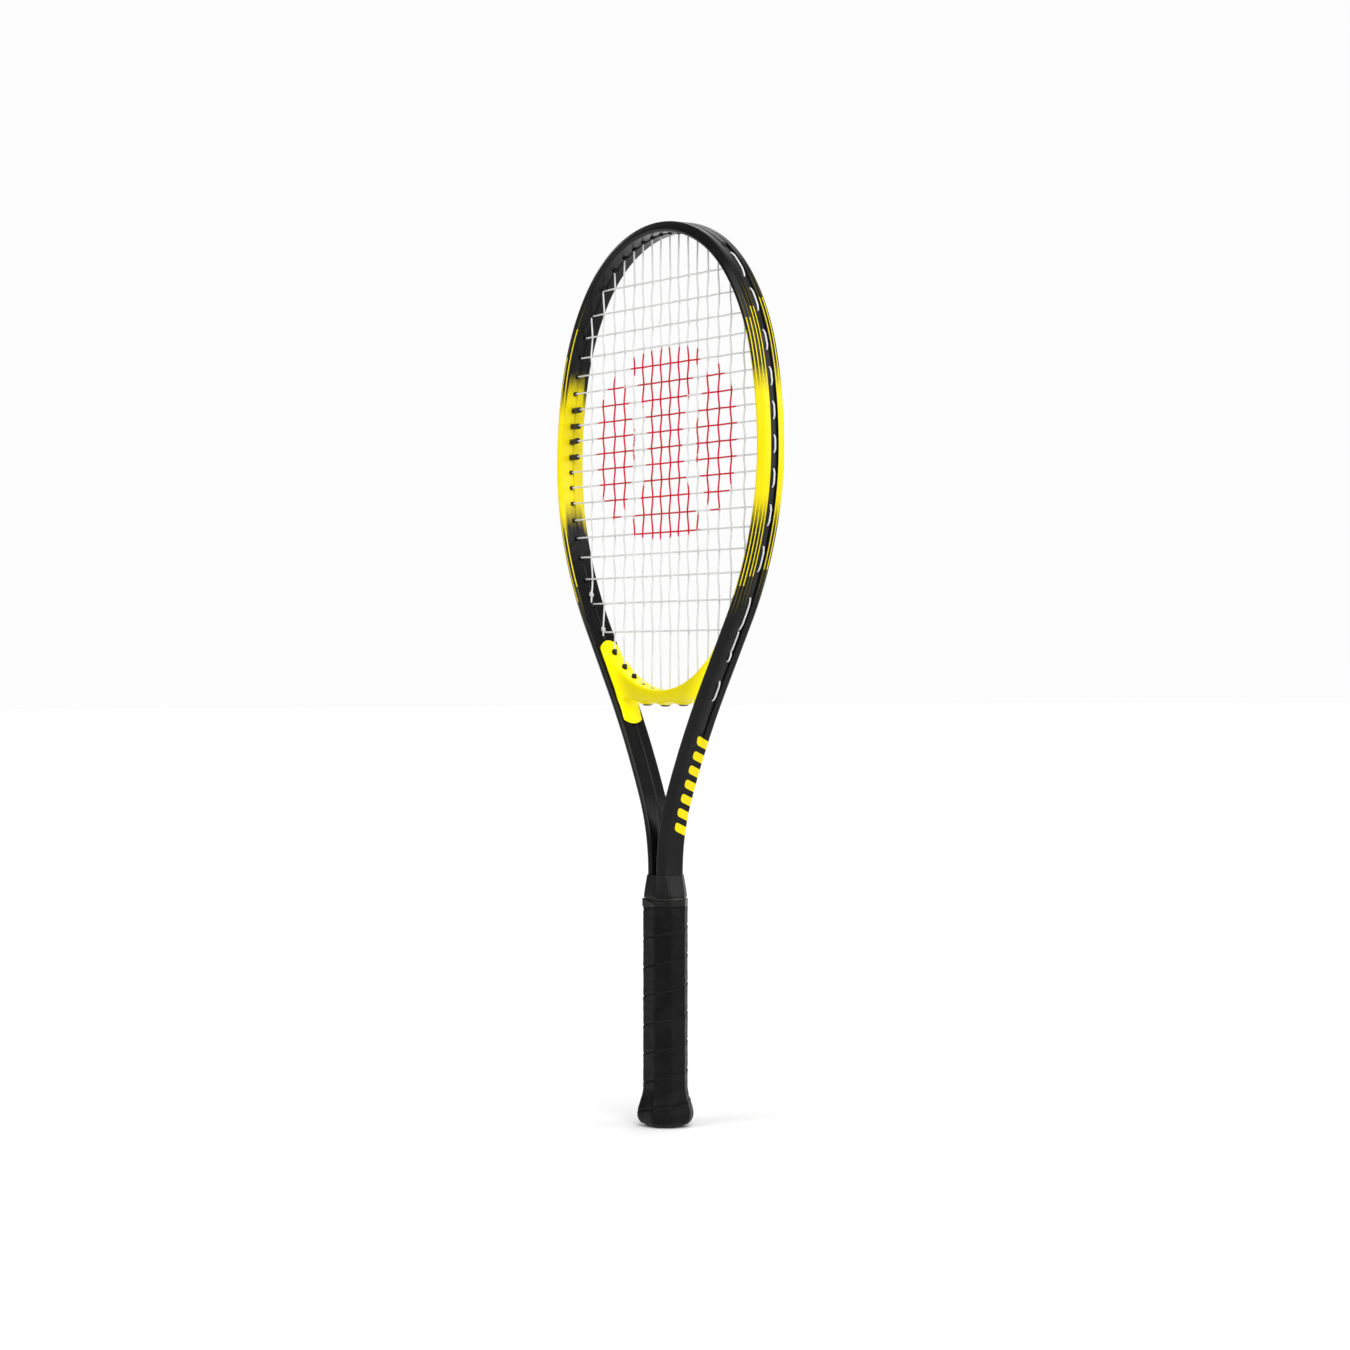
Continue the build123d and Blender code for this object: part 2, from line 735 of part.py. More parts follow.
def staple(y_side, z):
    """A wire staple driven in from the front or the back: a crown and two legs."""
    surface = y_side * (GRIP_Y / 2 - WRAP_T)
    crown = Pos(0, surface - y_side * STAPLE_WIRE / 2, z) * Box(STAPLE_W, STAPLE_WIRE, STAPLE_WIRE)
    body = crown
    for x in (-1, 1):
        leg_x = x * (STAPLE_W - STAPLE_WIRE) / 2
        leg_y = surface - y_side * STAPLE_LEG / 2
        body += Pos(leg_x, leg_y, z) * Box(STAPLE_WIRE, STAPLE_LEG, STAPLE_WIRE)
    return body


def make_staples():
    z_hold = CAP_TOP_Z - 4.0
    return [staple(side, z_hold) for side in (-1, 1)]


def make_grip_staple():
    """The staple that holds the wrap's first turn, on the flat narrow side of the cap."""
    surface = GRIP_X / 2 - WRAP_T
    z = CAP_TOP_Z - 4.0
    body = Pos(surface - STAPLE_WIRE / 2, 0, z) * Box(STAPLE_WIRE, STAPLE_W, STAPLE_WIRE)
    for y in (-1, 1):
        leg = Pos(surface - STAPLE_LEG / 2, y * (STAPLE_W - STAPLE_WIRE) / 2, z)
        body += leg * Box(STAPLE_LEG, STAPLE_WIRE, STAPLE_WIRE)
    return body


def make_pallets(tube_envelope, staples):
    full = straight_handle(WRAP_T, CAP_TOP_Z, PALLET_TOP_Z)
    spigot = straight_handle(WRAP_T + CAP_WALL, SPIGOT_FOOT_Z, CAP_TOP_Z)
    body = full + spigot - tube_envelope - staples
    cutter = Box(80, 80, 500)
    halves = {}
    for name, side in (("handle_pallet_front", -1), ("handle_pallet_rear", 1)):
        halves[name] = body & (Pos(0, side * 40, 200) * cutter)
    return halves


def make_butt_cap(staples):
    body = handle_solid(WRAP_T, 0.0, FLARE_TOP_Z) + straight_handle(WRAP_T, FLARE_TOP_Z, CAP_TOP_Z)
    body = split_foot(body)
    body -= straight_handle(WRAP_T + CAP_WALL, CAP_FLOOR, CAP_TOP_Z + 1.0)
    body -= Pos(0, 0, DOOR_T / 2) * Cylinder(DOOR_D / 2, DOOR_T)
    body -= Pos(0, 0, CAP_FLOOR) * Cylinder(DOOR_D / 2 - 2.0, 2 * CAP_FLOOR)
    return body - staples


def split_foot(body):
    """Keeps the part of the cap above the floor it stands on."""
    return body & (Pos(0, 0, 50) * Box(100, 100, 100))


def make_grip_wrap():
    outer = handle_solid(0.0, WRAP_FOOT_Z, FLARE_TOP_Z) + straight_handle(0.0, FLARE_TOP_Z, WRAP_TOP_Z)
    inner = handle_solid(WRAP_T, WRAP_FOOT_Z, FLARE_TOP_Z)
    inner += straight_handle(WRAP_T, FLARE_TOP_Z, WRAP_TOP_Z)
    return outer - inner


def make_finishing_tape():
    outer = straight_handle(-TAPE_EXTRA, WRAP_TOP_Z, TAPE_TOP_Z)
    return outer - straight_handle(WRAP_T, WRAP_TOP_Z, TAPE_TOP_Z)


def make_collar():
    lip = COLLAR_BORE + 2 * COLLAR_LIP
    foot = Pos(0, 0, COLLAR_FOOT_Z) * octagon(COLLAR_X, COLLAR_Y)
    top = Pos(0, 0, COLLAR_TOP_Z) * octagon(lip, lip)
    body = loft([foot, top], ruled=True)
    cavity_foot = octagon(COLLAR_X - 2 * COLLAR_WALL, COLLAR_Y - 2 * COLLAR_WALL)
    cavity = loft([
        Pos(0, 0, COLLAR_FOOT_Z) * cavity_foot,
        Pos(0, 0, COLLAR_CAVITY_TOP_Z) * octagon(COLLAR_CAVITY, COLLAR_CAVITY),
    ], ruled=True)
    bore_h = COLLAR_TOP_Z - COLLAR_FOOT_Z
    bore_box = Pos(0, 0, COLLAR_FOOT_Z + bore_h / 2) * Box(COLLAR_BORE, COLLAR_BORE, bore_h + 1.0)
    bore_box = fillet(bore_box.edges().filter_by(Axis.Z), 2.4)
    return body - cavity - bore_box


# ---------------------------------------------------------------- assembly

def make_parts():
    envelope = sweep_section(tube_section(hollow=False), outline_wire(0.0, len(OUTLINE)))
    staples = make_staples()
    grip_staple = make_grip_staple()
    parts = {
        "frame_tube": make_frame_tube(),
        "throat_bridge": make_throat_bridge(envelope),
        "bridge_grommets": make_bridge_grommets(),
        "main_string": make_main_string(),
        "cross_string": make_cross_string(),
        "string_knots": make_string_knots(),
        "butt_cap": make_butt_cap(staples + [grip_staple]),
        "butt_cap_plug": Pos(0, 0, DOOR_T / 2) * Cylinder(DOOR_D / 2, DOOR_T),
        "butt_cap_staples": Compound(children=staples),
        "grip_staple": grip_staple,
        "grip_wrap": make_grip_wrap(),
        "finishing_tape": make_finishing_tape(),
        "rubber_collar": make_collar(),
    }
    parts.update(make_grommet_strips())
    parts.update(make_shock_sleeves())
    parts.update(make_pallets(envelope, staples + [grip_staple]))
    return parts


os.makedirs("parts", exist_ok=True)
for node, shape in make_parts().items():
    export_step(shape, f"parts/{node}.step")
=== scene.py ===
import bpy
import math
import random
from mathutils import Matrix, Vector


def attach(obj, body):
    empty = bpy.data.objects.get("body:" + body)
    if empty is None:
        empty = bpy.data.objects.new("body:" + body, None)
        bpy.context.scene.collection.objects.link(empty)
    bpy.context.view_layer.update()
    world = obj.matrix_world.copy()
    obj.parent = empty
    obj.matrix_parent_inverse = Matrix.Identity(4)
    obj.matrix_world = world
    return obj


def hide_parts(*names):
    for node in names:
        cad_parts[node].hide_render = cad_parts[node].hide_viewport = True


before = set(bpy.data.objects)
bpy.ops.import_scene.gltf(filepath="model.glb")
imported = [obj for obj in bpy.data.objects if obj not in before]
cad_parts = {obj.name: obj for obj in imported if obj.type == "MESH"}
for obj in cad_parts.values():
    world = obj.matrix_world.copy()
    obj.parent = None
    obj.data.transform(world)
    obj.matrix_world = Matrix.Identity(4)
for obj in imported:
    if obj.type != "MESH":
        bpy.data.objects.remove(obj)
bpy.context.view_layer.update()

MM = 0.001
RACKET = "racket"
COLLAR = "collar"
rng = random.Random(7)


# ---- outline of the head and the shafts

ARCS = [(138.0, 24.0), (124.0, 50.0), (156.0, 75.0), (273.0, 92.0), (190.0, 104.0), (259.0, 123.4)]
TUBE_TOP_Z = 694.3
THROAT_R, THROAT_TURN, YOKE_R = 630.0, 8.9, 139.0
SHAFT_X, FOOT_Z = 7.4, 160.0
STATION = 1.5


def make_outline():
    """The right half of the tube's centre line, a point each STATION: x, z, and the outward normal."""
    points = []
    x, z, heading = 0.0, TUBE_TOP_Z, 0.0

    def arc(radius, end, side):
        nonlocal x, z, heading
        cx = x - side * radius * math.sin(math.radians(heading))
        cz = z - side * radius * math.cos(math.radians(heading))
        count = max(2, round(radius * math.radians(abs(end - heading)) / STATION))
        for i in range(count):
            h = math.radians(heading + (end - heading) * i / count)
            nx, nz = math.sin(h), math.cos(h)
            points.append((cx + side * radius * nx, cz + side * radius * nz, nx, nz))
        h = math.radians(end)
        x, z, heading = cx + side * radius * math.sin(h), cz + side * radius * math.cos(h), end

    def line(length):
        nonlocal x, z
        h = math.radians(heading)
        count = round(length / STATION)
        for i in range(count):
            t = length * i / count
            points.append((x + t * math.cos(h), z - t * math.sin(h), math.sin(h), math.cos(h)))
        x, z = x + length * math.cos(h), z - length * math.sin(h)

    for radius, end in ARCS:
        arc(radius, end, 1)
    bend = heading - THROAT_TURN
    drop = THROAT_R * (math.sin(math.radians(heading)) - math.sin(math.radians(bend)))
    drop += YOKE_R * (math.sin(math.radians(bend)) - 1.0)
    line((SHAFT_X - x - drop) / math.cos(math.radians(heading)))
    arc(THROAT_R, bend, -1)
    arc(YOKE_R, 90.0, -1)
    line(z - FOOT_Z)
    points.append((x, z, 1.0, 0.0))
    return points


HALF = make_outline()
WIDEST = max(range(len(HALF)), key=lambda i: HALF[i][0])


def at(index, offset):
    """The point at a fractional index of the half outline, moved out by offset, and its normal."""
    index = min(max(index, 0.0), len(HALF) - 1.001)
    i = int(index)
    f = index - i
    a, b = HALF[i], HALF[i + 1]
    x, z, nx, nz = (a[k] + (b[k] - a[k]) * f for k in range(4))
    return x + nx * offset, z + nz * offset, nx, nz


def find(value, axis, low, high, offset):
    """The fractional index between low and high where x (0) or z (1) takes the value."""
    rising = at(high, offset)[axis] > at(low, offset)[axis]
    for _ in range(40):
        middle = (low + high) / 2
        if (at(middle, offset)[axis] < value) == rising:
            low = middle
        else:
            high = middle
    return low


LAST = len(HALF) - 1.01


def head_x(z, offset):
    """The half width of the head at a height, on the line at an offset from the tube's centre."""
    return at(find(z, 1, 0.0, LAST, offset), offset)[0]


def top_index(x, offset):
    return find(abs(x), 0, 0.0, WIDEST, offset)


def bottom_index(x, offset):
    return find(abs(x), 0, WIDEST, LAST, offset)


# ---- mesh helpers

def new_object(name, data):
    made = bpy.data.objects.new(name, data)
    bpy.context.scene.collection.objects.link(made)
    return made


def add_piece(name, points, faces, material, body=RACKET):
    """A mesh piece from points in millimetres, riding on a CAD body."""
    mesh = bpy.data.meshes.new(name)
    mesh.from_pydata([(p[0] * MM, p[1] * MM, p[2] * MM) for p in points], [], faces)
    mesh.polygons.foreach_set("use_smooth", [True] * len(mesh.polygons))
    mesh.materials.append(material)
    mesh.update()
    piece = new_object(name, mesh)
    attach(piece, body)
    return piece


def add_float(piece, name, values):
    attribute = piece.data.attributes.new(name, "FLOAT", "POINT")
    attribute.data.foreach_set("value", values)


def grid_faces(rows, columns, wrap_rows=False, base=0):
    """Quads between neighbouring rings, and from the last ring to the first if wrap_rows."""
    faces = []
    for i in range(rows if wrap_rows else rows - 1):
        for j in range(columns):
            a, b = i * columns + j, i * columns + (j + 1) % columns
            c, d = (i + 1) % rows * columns + (j + 1) % columns, (i + 1) % rows * columns + j
            faces.append((base + a, base + b, base + c, base + d))
    return faces


def across(axis):
    """A direction square to an axis, in the string plane where there is one."""
    side = axis.cross(Vector((0, 1, 0)))
    return side if side.length >= 0.1 else axis.cross(Vector((1, 0, 0)))


def circle(centre, side, other, radius, sides):
    """Points round a centre, in the plane of two directions."""
    angles = [2 * math.pi * j / sides for j in range(sides)]
    return [centre + side * (radius * math.cos(t)) + other * (radius * math.sin(t)) for t in angles]


class Shape:
    """Collects points and faces of several closed forms for one piece."""

    def __init__(self):
        self.points, self.faces = [], []

    def grid(self, rows, wrap_rows=False, caps=False):
        """A skin over rings of points, closed into itself by wrap_rows or at both ends by caps."""
        base, columns = len(self.points), len(rows[0])
        for row in rows:
            self.points += [tuple(p) for p in row]
        self.faces += grid_faces(len(rows), columns, wrap_rows, base)
        if caps:
            end = base + (len(rows) - 1) * columns
            self.faces.append(tuple(base + j for j in reversed(range(columns))))
            self.faces.append(tuple(end + j for j in range(columns)))

    def tube(self, path, radius, sides=10):
        """A round tube along a path, closed at both ends."""
        path = [Vector(p) for p in path]
        side = None
        rows = []
        for i, here in enumerate(path):
            along = (path[min(i + 1, len(path) - 1)] - path[max(i - 1, 0)]).normalized()
            side = side or across(along)
            side = (side - along * side.dot(along)).normalized()
            rows.append(circle(here, side, along.cross(side), radius, sides))
        self.grid(rows, caps=True)

    def turned(self, origin, axis, profile, sides=20):
        """A turned form: profile is a closed list of (distance along the axis, radius)."""
        origin, axis = Vector(origin), Vector(axis).normalized()
        side = across(axis).normalized()
        other = axis.cross(side)
        rows = [circle(origin + axis * along, side, other, r, sides) for along, r in profile]
        self.grid(rows, wrap_rows=True)

    def piece(self, name, material, body=RACKET):
        return add_piece(name, self.points, self.faces, material, body)


def smooth_step(t):
    t = min(max(t, 0.0), 1.0)
    return t * t * (3 - 2 * t)


def arc_points(cx, cy, radius, start, end, count):
    """Points on an arc, angles in degrees, both ends included."""
    angles = [math.radians(start + (end - start) * i / (count - 1)) for i in range(count)]
    return [(cx + radius * math.cos(t), cy + radius * math.sin(t)) for t in angles]


# ---- materials

class Nodes:
    """A small helper that writes a node tree."""

    def __init__(self, owner):
        owner.use_nodes = True
        self.tree = owner.node_tree

    def node(self, kind, **settings):
        made = self.tree.nodes.new(kind)
        for key, value in settings.items():
            setattr(made, key, value)
        return made

    def link(self, out, into):
        self.tree.links.new(out, into)

    def feed(self, socket, value):
        if isinstance(value, (int, float)):
            socket.default_value = value
        else:
            self.link(value, socket)

    def math(self, operation, a, b=0.0):
        made = self.node("ShaderNodeMath", operation=operation)
        self.feed(made.inputs[0], a)
        self.feed(made.inputs[1], b)
        return made.outputs[0]

    def plus(self, a, b):
        return self.math("ADD", a, b)

    def minus(self, a, b):
        return self.math("SUBTRACT", a, b)

    def times(self, a, b):
        return self.math("MULTIPLY", a, b)

    def ramp(self, value, low, high, to_low=0.0, to_high=1.0, kind="SMOOTHSTEP"):
        made = self.node("ShaderNodeMapRange", interpolation_type=kind)
        self.feed(made.inputs["Value"], value)
        limits = {"From Min": low, "From Max": high, "To Min": to_low, "To Max": to_high}
        for key, number in limits.items():
            self.feed(made.inputs[key], number)
        return made.outputs["Result"]


class Look(Nodes):
    """A Principled material and its textures."""

    def __init__(self, name, color, roughness, **sockets):
        self.material = bpy.data.materials.new(name)
        super().__init__(self.material)
        self.shader = self.tree.nodes["Principled BSDF"]
        self.shader.inputs["Base Color"].default_value = (*color, 1)
        self.shader.inputs["Roughness"].default_value = roughness
        self.shader.inputs["Specular IOR Level"].default_value = 0.22
        for key, value in sockets.items():
            self.shader.inputs[key.replace("_", " ")].default_value = value
        self.heights = []

    def mix(self, share, a, b):
        made = self.node("ShaderNodeMix", data_type="RGBA")
        self.feed(made.inputs["Factor"], share)
        for socket, value in ((made.inputs["A"], a), (made.inputs["B"], b)):
            if isinstance(value, tuple):
                socket.default_value = (*value, 1)
            else:
                self.link(value, socket)
        return made.outputs["Result"]

    def place(self, scale):
        """Object coordinates in millimetres, stretched by scale."""
        source = self.node("ShaderNodeTexCoord").outputs["Object"]
        mapping = self.node("ShaderNodeMapping")
        mapping.inputs["Scale"].default_value = tuple(1000 * s for s in scale)
        self.link(source, mapping.inputs["Vector"])
        return mapping.outputs["Vector"]

    def axes(self):
        split = self.node("ShaderNodeSeparateXYZ")
        self.link(self.place((1, 1, 1)), split.inputs[0])
        return split.outputs

    def noise(self, scale, detail=3.0, stretch=(1, 1, 1)):
        made = self.node("ShaderNodeTexNoise")
        self.link(self.place(stretch), made.inputs["Vector"])
        made.inputs["Scale"].default_value = scale
        made.inputs["Detail"].default_value = detail
        return made.outputs["Fac"]

    def cells(self, scale):
        made = self.node("ShaderNodeTexVoronoi")
        self.link(self.place((1, 1, 1)), made.inputs["Vector"])
        made.inputs["Scale"].default_value = scale
        return made.outputs["Distance"]

    def value(self, name):
        return self.node("ShaderNodeAttribute", attribute_name=name).outputs["Fac"]

    def color(self, socket):
        self.link(socket, self.shader.inputs["Base Color"])

    def rough(self, value, low, high):
        self.link(self.ramp(value, 0.3, 0.7, low, high, "LINEAR"), self.shader.inputs["Roughness"])

    def bump(self, height, depth_mm, strength=1.0):
        made = self.node("ShaderNodeBump")
        made.inputs["Strength"].default_value = strength
        made.inputs["Distance"].default_value = depth_mm * MM
        self.link(height, made.inputs["Height"])
        if self.heights:
            self.link(self.heights[-1], made.inputs["Normal"])
        self.heights.append(made.outputs["Normal"])
        self.link(made.outputs["Normal"], self.shader.inputs["Normal"])


YELLOW = (0.74, 0.61, 0.0)
BLACK = (0.0035, 0.0035, 0.004)
LINE_PITCH, FIRST_LINE = 2.8, 4.2
# Heights where the fine lines stop above and below the yellow, as (distance round the tube, height)
FRONT_TOPS = [(0, 622.0), (8.4, 613.2), (14.0, 604.0), (16.8, 625.8)]
REAR_TOPS = [(0, 629.6), (8.4, 626.0), (14.0, 610.0), (16.8, 622.0)]
FRONT_FEET = [(0, 421.5), (8.4, 414.5), (14.0, 407.0), (16.8, 419.5)]
REAR_FEET = [(0, 426.7), (8.4, 453.0), (14.0, 412.0), (16.8, 419.5)]


def frame_look():
    """Black paint that fades to yellow down each side, with fine yellow lines that run into the fade."""
    look = Look("frame_paint", BLACK, 0.24, Specular_IOR_Level=0.17)
    _, y, z = look.axes()
    reach = look.value("reach")
    rear = look.math("GREATER_THAN", y, 0.0)

    inner = look.ramp(reach, 19.5, 21.5)
    streak = look.noise(0.35, 2.0, (1.0, 1.0, 0.06))
    wander = look.ramp(streak, 0.3, 0.7, -2.0, 2.0, "LINEAR")
    level = look.plus(z, wander)
    high = look.plus(level, look.times(inner, -14.0))
    low = look.plus(level, look.times(inner, -10.0))
    fade = look.times(look.ramp(high, 581.0, 554.0), look.ramp(low, 456.0, 484.0))

    phase = look.math("DIVIDE", look.minus(reach, FIRST_LINE), LINE_PITCH)
    nearest = look.math("ROUND", phase)
    away = look.math("ABSOLUTE", look.minus(phase, nearest))
    line = look.ramp(away, 0.21, 0.11)
    limit = look.minus(19.8, look.times(rear, 7.6))
    zone = look.math("GREATER_THAN", reach, 2.9)
    zone = look.times(zone, look.math("LESS_THAN", reach, limit))
    line = look.times(line, zone)

    def stairs(steps):
        level = steps[0][1]
        for (_, before), (edge, after) in zip(steps, steps[1:]):
            jump = look.times(look.math("GREATER_THAN", reach, edge), after - before)
            level = look.plus(level, jump)
        return level

    def either(front, back):
        """One height on the front of the tube and another on its rear."""
        return look.ramp(rear, 0.0, 1.0, stairs(front), stairs(back), "LINEAR")

    over = look.minus(z, either(FRONT_TOPS, REAR_TOPS))
    under = look.minus(either(FRONT_FEET, REAR_FEET), z)
    beyond = look.math("MAXIMUM", over, under)
    crisp = look.ramp(beyond, 0.4, -0.4)
    ghost = look.times(look.ramp(beyond, 26.0, 8.0), 0.09)
    shown = look.times(line, look.math("MAXIMUM", crisp, ghost))

    broken = look.ramp(look.noise(1.1, 2.0, (1.0, 1.0, 0.35)), 0.25, 0.6, 0.72, 1.0)
    shown = look.times(shown, broken)
    yellow = look.math("MAXIMUM", fade, shown)
    outside = look.ramp(reach, 3.35, 3.6)
    yellow = look.times(yellow, outside)

    badge = look.value("badge")
    yellow = look.math("MAXIMUM", yellow, look.ramp(badge, -0.15, 0.15))
    cloud = look.ramp(look.noise(0.02, 2.0), 0.35, 0.65)
    tint = look.mix(cloud, (0.0026, 0.0026, 0.003), (0.0042, 0.0042, 0.0046))
    look.color(look.mix(yellow, tint, YELLOW))
    look.rough(look.noise(0.12, 4.0, (1, 1, 0.4)), 0.2, 0.3)
    look.bump(look.noise(2.2, 2.0), 0.02, 0.35)
    return look.material


def plain_look(name, color, roughness, grain=1.4, depth=0.03, spread=0.05, tint=0.25, **sockets):
    """Moulded plastic or rubber: slight shade changes, a fine grain and uneven gloss."""
    look = Look(name, color, roughness, **sockets)
    lighter = tuple(min(1.0, c * (1 + tint)) for c in color)
    darker = tuple(c * (1 - tint) for c in color)
    look.color(look.mix(look.ramp(look.noise(0.09, 3.0), 0.3, 0.7), darker, lighter))
    look.rough(look.noise(0.25, 3.0), roughness - spread, roughness + spread)
    look.bump(look.noise(grain, 4.0), depth)
    return look.material


def bridge_look():
    """Yellow moulded plastic with painted shade: a deeper yellow on the faces that look forward between
    the ears.
    """
    look = Look("bridge_yellow", YELLOW, 0.34, Specular_IOR_Level=0.12)
    mottle = look.mix(look.ramp(look.noise(0.05, 3.0), 0.3, 0.7), (0.95, 0.83, 0.0), (1.0, 0.89, 0.0))
    # Painted shade: a deeper yellow mixed in on the faces that look forward.
    look.color(look.mix(look.value("painted_front_shade"), mottle, (0.66, 0.56, 0.0)))
    look.rough(look.noise(0.3, 3.0), 0.26, 0.36)
    look.bump(look.noise(1.6, 3.0), 0.02, 0.5)
    return look.material


BALL_Z, BALL_HALF_X, BALL_HALF_Z, BALL_POWER = 528.0, 98.0, 74.0, 2.4


def string_look():
    """White nylon with a red round stencil: a ball with two curved seams left open."""
    look = Look("string_nylon", (0.5, 0.5, 0.49), 0.3, Coat_Weight=0.1)
    x, _, z = look.axes()
    z = look.minus(z, BALL_Z)
    ragged = look.ramp(look.noise(0.5, 3.0), 0.3, 0.7, -2.2, 2.2, "LINEAR")

    def power(value, reach):
        scaled = look.math("DIVIDE", look.math("ABSOLUTE", value), reach)
        return look.math("POWER", scaled, BALL_POWER)

    both = look.plus(power(x, BALL_HALF_X), power(z, BALL_HALF_Z))
    radius = look.math("POWER", both, 1 / BALL_POWER)
    edge = look.plus(look.times(radius, BALL_HALF_X), ragged)
    disc = look.ramp(edge, BALL_HALF_X + 0.6, BALL_HALF_X - 0.6)
    bow = look.times(look.math("POWER", look.math("ABSOLUTE", z), 2.0), 0.0062)
    seam = look.minus(look.math("ABSOLUTE", x), look.plus(bow, 34.0))
    gap = look.math("ABSOLUTE", look.plus(seam, look.times(ragged, 0.6)))
    red = look.times(disc, look.ramp(gap, 8.5, 10.0))
    fleck = look.ramp(look.noise(1.2, 3.0), 0.28, 0.4, 0.55, 1.0)
    red = look.times(red, fleck)
    shade = look.ramp(look.noise(0.06, 2.0), 0.3, 0.7)
    base = look.mix(shade, (0.55, 0.55, 0.545), (0.63, 0.63, 0.625))
    look.color(look.mix(red, base, (0.5, 0.001, 0.018)))
    look.bump(look.noise(1.5, 2.0), 0.015, 0.5)
    return look.material


def wrap_look():
    """Black grip leather: fine pores, soft creases, a dull sheen and painted shade in the seam grooves.
    """
    look = Look("grip_leather", (0.012, 0.012, 0.0125), 0.45, Specular_IOR_Level=0.09)
    seam = look.value("seam")
    worn = look.ramp(look.noise(0.07, 4.0), 0.35, 0.7)
    face = look.mix(worn, (0.0022, 0.0022, 0.0025), (0.0048, 0.0048, 0.0052))
    # Painted shade: the seam grooves are painted near black.
    look.color(look.mix(seam, face, (0.001, 0.001, 0.001)))
    look.rough(look.noise(0.22, 4.0), 0.36, 0.5)
    look.bump(look.cells(1.35), 0.06, 0.55)
    look.bump(look.noise(0.45, 5.0, (1, 1, 1.2)), 0.12, 0.5)
    return look.material


FRAME_PAINT = frame_look()
BRIDGE = bridge_look()
STRING = string_look()
LEATHER = wrap_look()
GROMMET = plain_look("grommet_nylon", (0.010, 0.010, 0.0105), 0.42, 1.8, 0.02)
BUMPER = plain_look("bumper_nylon", (0.0045, 0.0045, 0.005), 0.3, 1.8, 0.02, Specular_IOR_Level=0.17)
RUBBER = plain_look(
    "collar_rubber", (0.003, 0.003, 0.0034), 0.36, 1.1, 0.05, 0.06, Specular_IOR_Level=0.18
)
SLEEVE = plain_look("sleeve_rubber", (0.014, 0.014, 0.0145), 0.38, 1.6, 0.03)
TAPE = plain_look(
    "finishing_tape", (0.003, 0.003, 0.0034), 0.3, 0.7, 0.03, 0.06, Specular_IOR_Level=0.17
)
CAP = plain_look("cap_plastic", (0.014, 0.014, 0.014), 0.5, 0.9, 0.05)
STEEL = plain_look("staple_steel", (0.55, 0.55, 0.57), 0.3, 2.0, 0.01, Metallic=1.0)
FOAM = plain_look("pallet_foam", (0.42, 0.39, 0.32), 0.75, 1.3, 0.1)


# ---- the tube

HALF_U = 4.2
CHANNEL_U = 1.6
CHANNEL_END_Z = 300.0
GROOVE_U = -3.3


def section_points():
    """The rear half of the section, outside to inside: (lane, u, y, share, u and y in the channel).

    The lane is the distance round the tube from the middle of its outer side, and the share says
    how far the point moves to its place in the channel where the channel is cut."""
    points = []

    def plain(lane, u, y):
        points.append((lane, u, y, 0.0, u, y))

    channel = [
        (0.0, CHANNEL_U, 0.0), (1.3, CHANNEL_U, 1.3), (2.2, CHANNEL_U, 2.2),
        (2.55, CHANNEL_U + 0.12, 2.62), (2.7, CHANNEL_U + 0.5, 2.83), (2.85, HALF_U - 0.9, 2.86),
        (2.98, HALF_U - 0.35, 2.95), (3.2, HALF_U - 0.1, 3.16), (3.5, HALF_U, 3.5),
    ]
    for y, cut_u, cut_y in channel:
        points.append((y, HALF_U, y, 1.0, cut_u, cut_y))
    for y in (4.4, 5.4, 6.4):
        plain(y, HALF_U, y)
    for i, (u, y) in enumerate(arc_points(1.6, 7.1, 2.6, 0, 58, 8)):
        plain(7.1 + 2.632 * i / 7, u, y)
    for k in (0.33, 0.67):
        plain(9.73 + 3.774 * k, 2.978 - 3.2 * k, 9.305 + 2.0 * k)
    for i, (u, y) in enumerate(arc_points(-1.6, 9.1, 2.6, 58, 180, 13)):
        plain(13.5 + 5.536 * i / 12, u, y)
    inner = [(-HALF_U, y) for y in (7.6, 6.0, 4.4, 3.2, 2.55)]
    inner += [(-4.12, 2.25), (-3.9, 2.08), (-3.6, 1.98), (-3.38, 1.8), (-3.3, 1.4), (-3.3, 0.0)]
    for u, y in inner:
        plain(19.04 + 9.1 - y, u, y)
    return points


def full_section():
    rear = section_points()
    front = [(-p[0], p[1], -p[2], p[3], p[4], -p[5]) for p in rear[1:-1]]
    return rear + front[::-1]


NO_BADGE = -9.0
BADGE_TOP_Z = 299.0


def badge_value(along, lane):
    """A row of plain slanted bars down the outside of the right shaft: above 0 inside a bar."""
    pitch, width, half, corner = 12.4, 7.2, 6.6, 2.2
    best = NO_BADGE
    for k in range(7):
        middle = pitch * k + 0.45 * (lane - 4.6)
        aside = abs(lane - 4.6)
        depth = min(width / 2 - abs(along - middle), half - aside)
        dx, dy = abs(along - middle) - (width / 2 - corner), aside - (half - corner)
        if dx > 0 and dy > 0:
            depth = corner - math.hypot(dx, dy)
        best = max(best, depth)
    return best


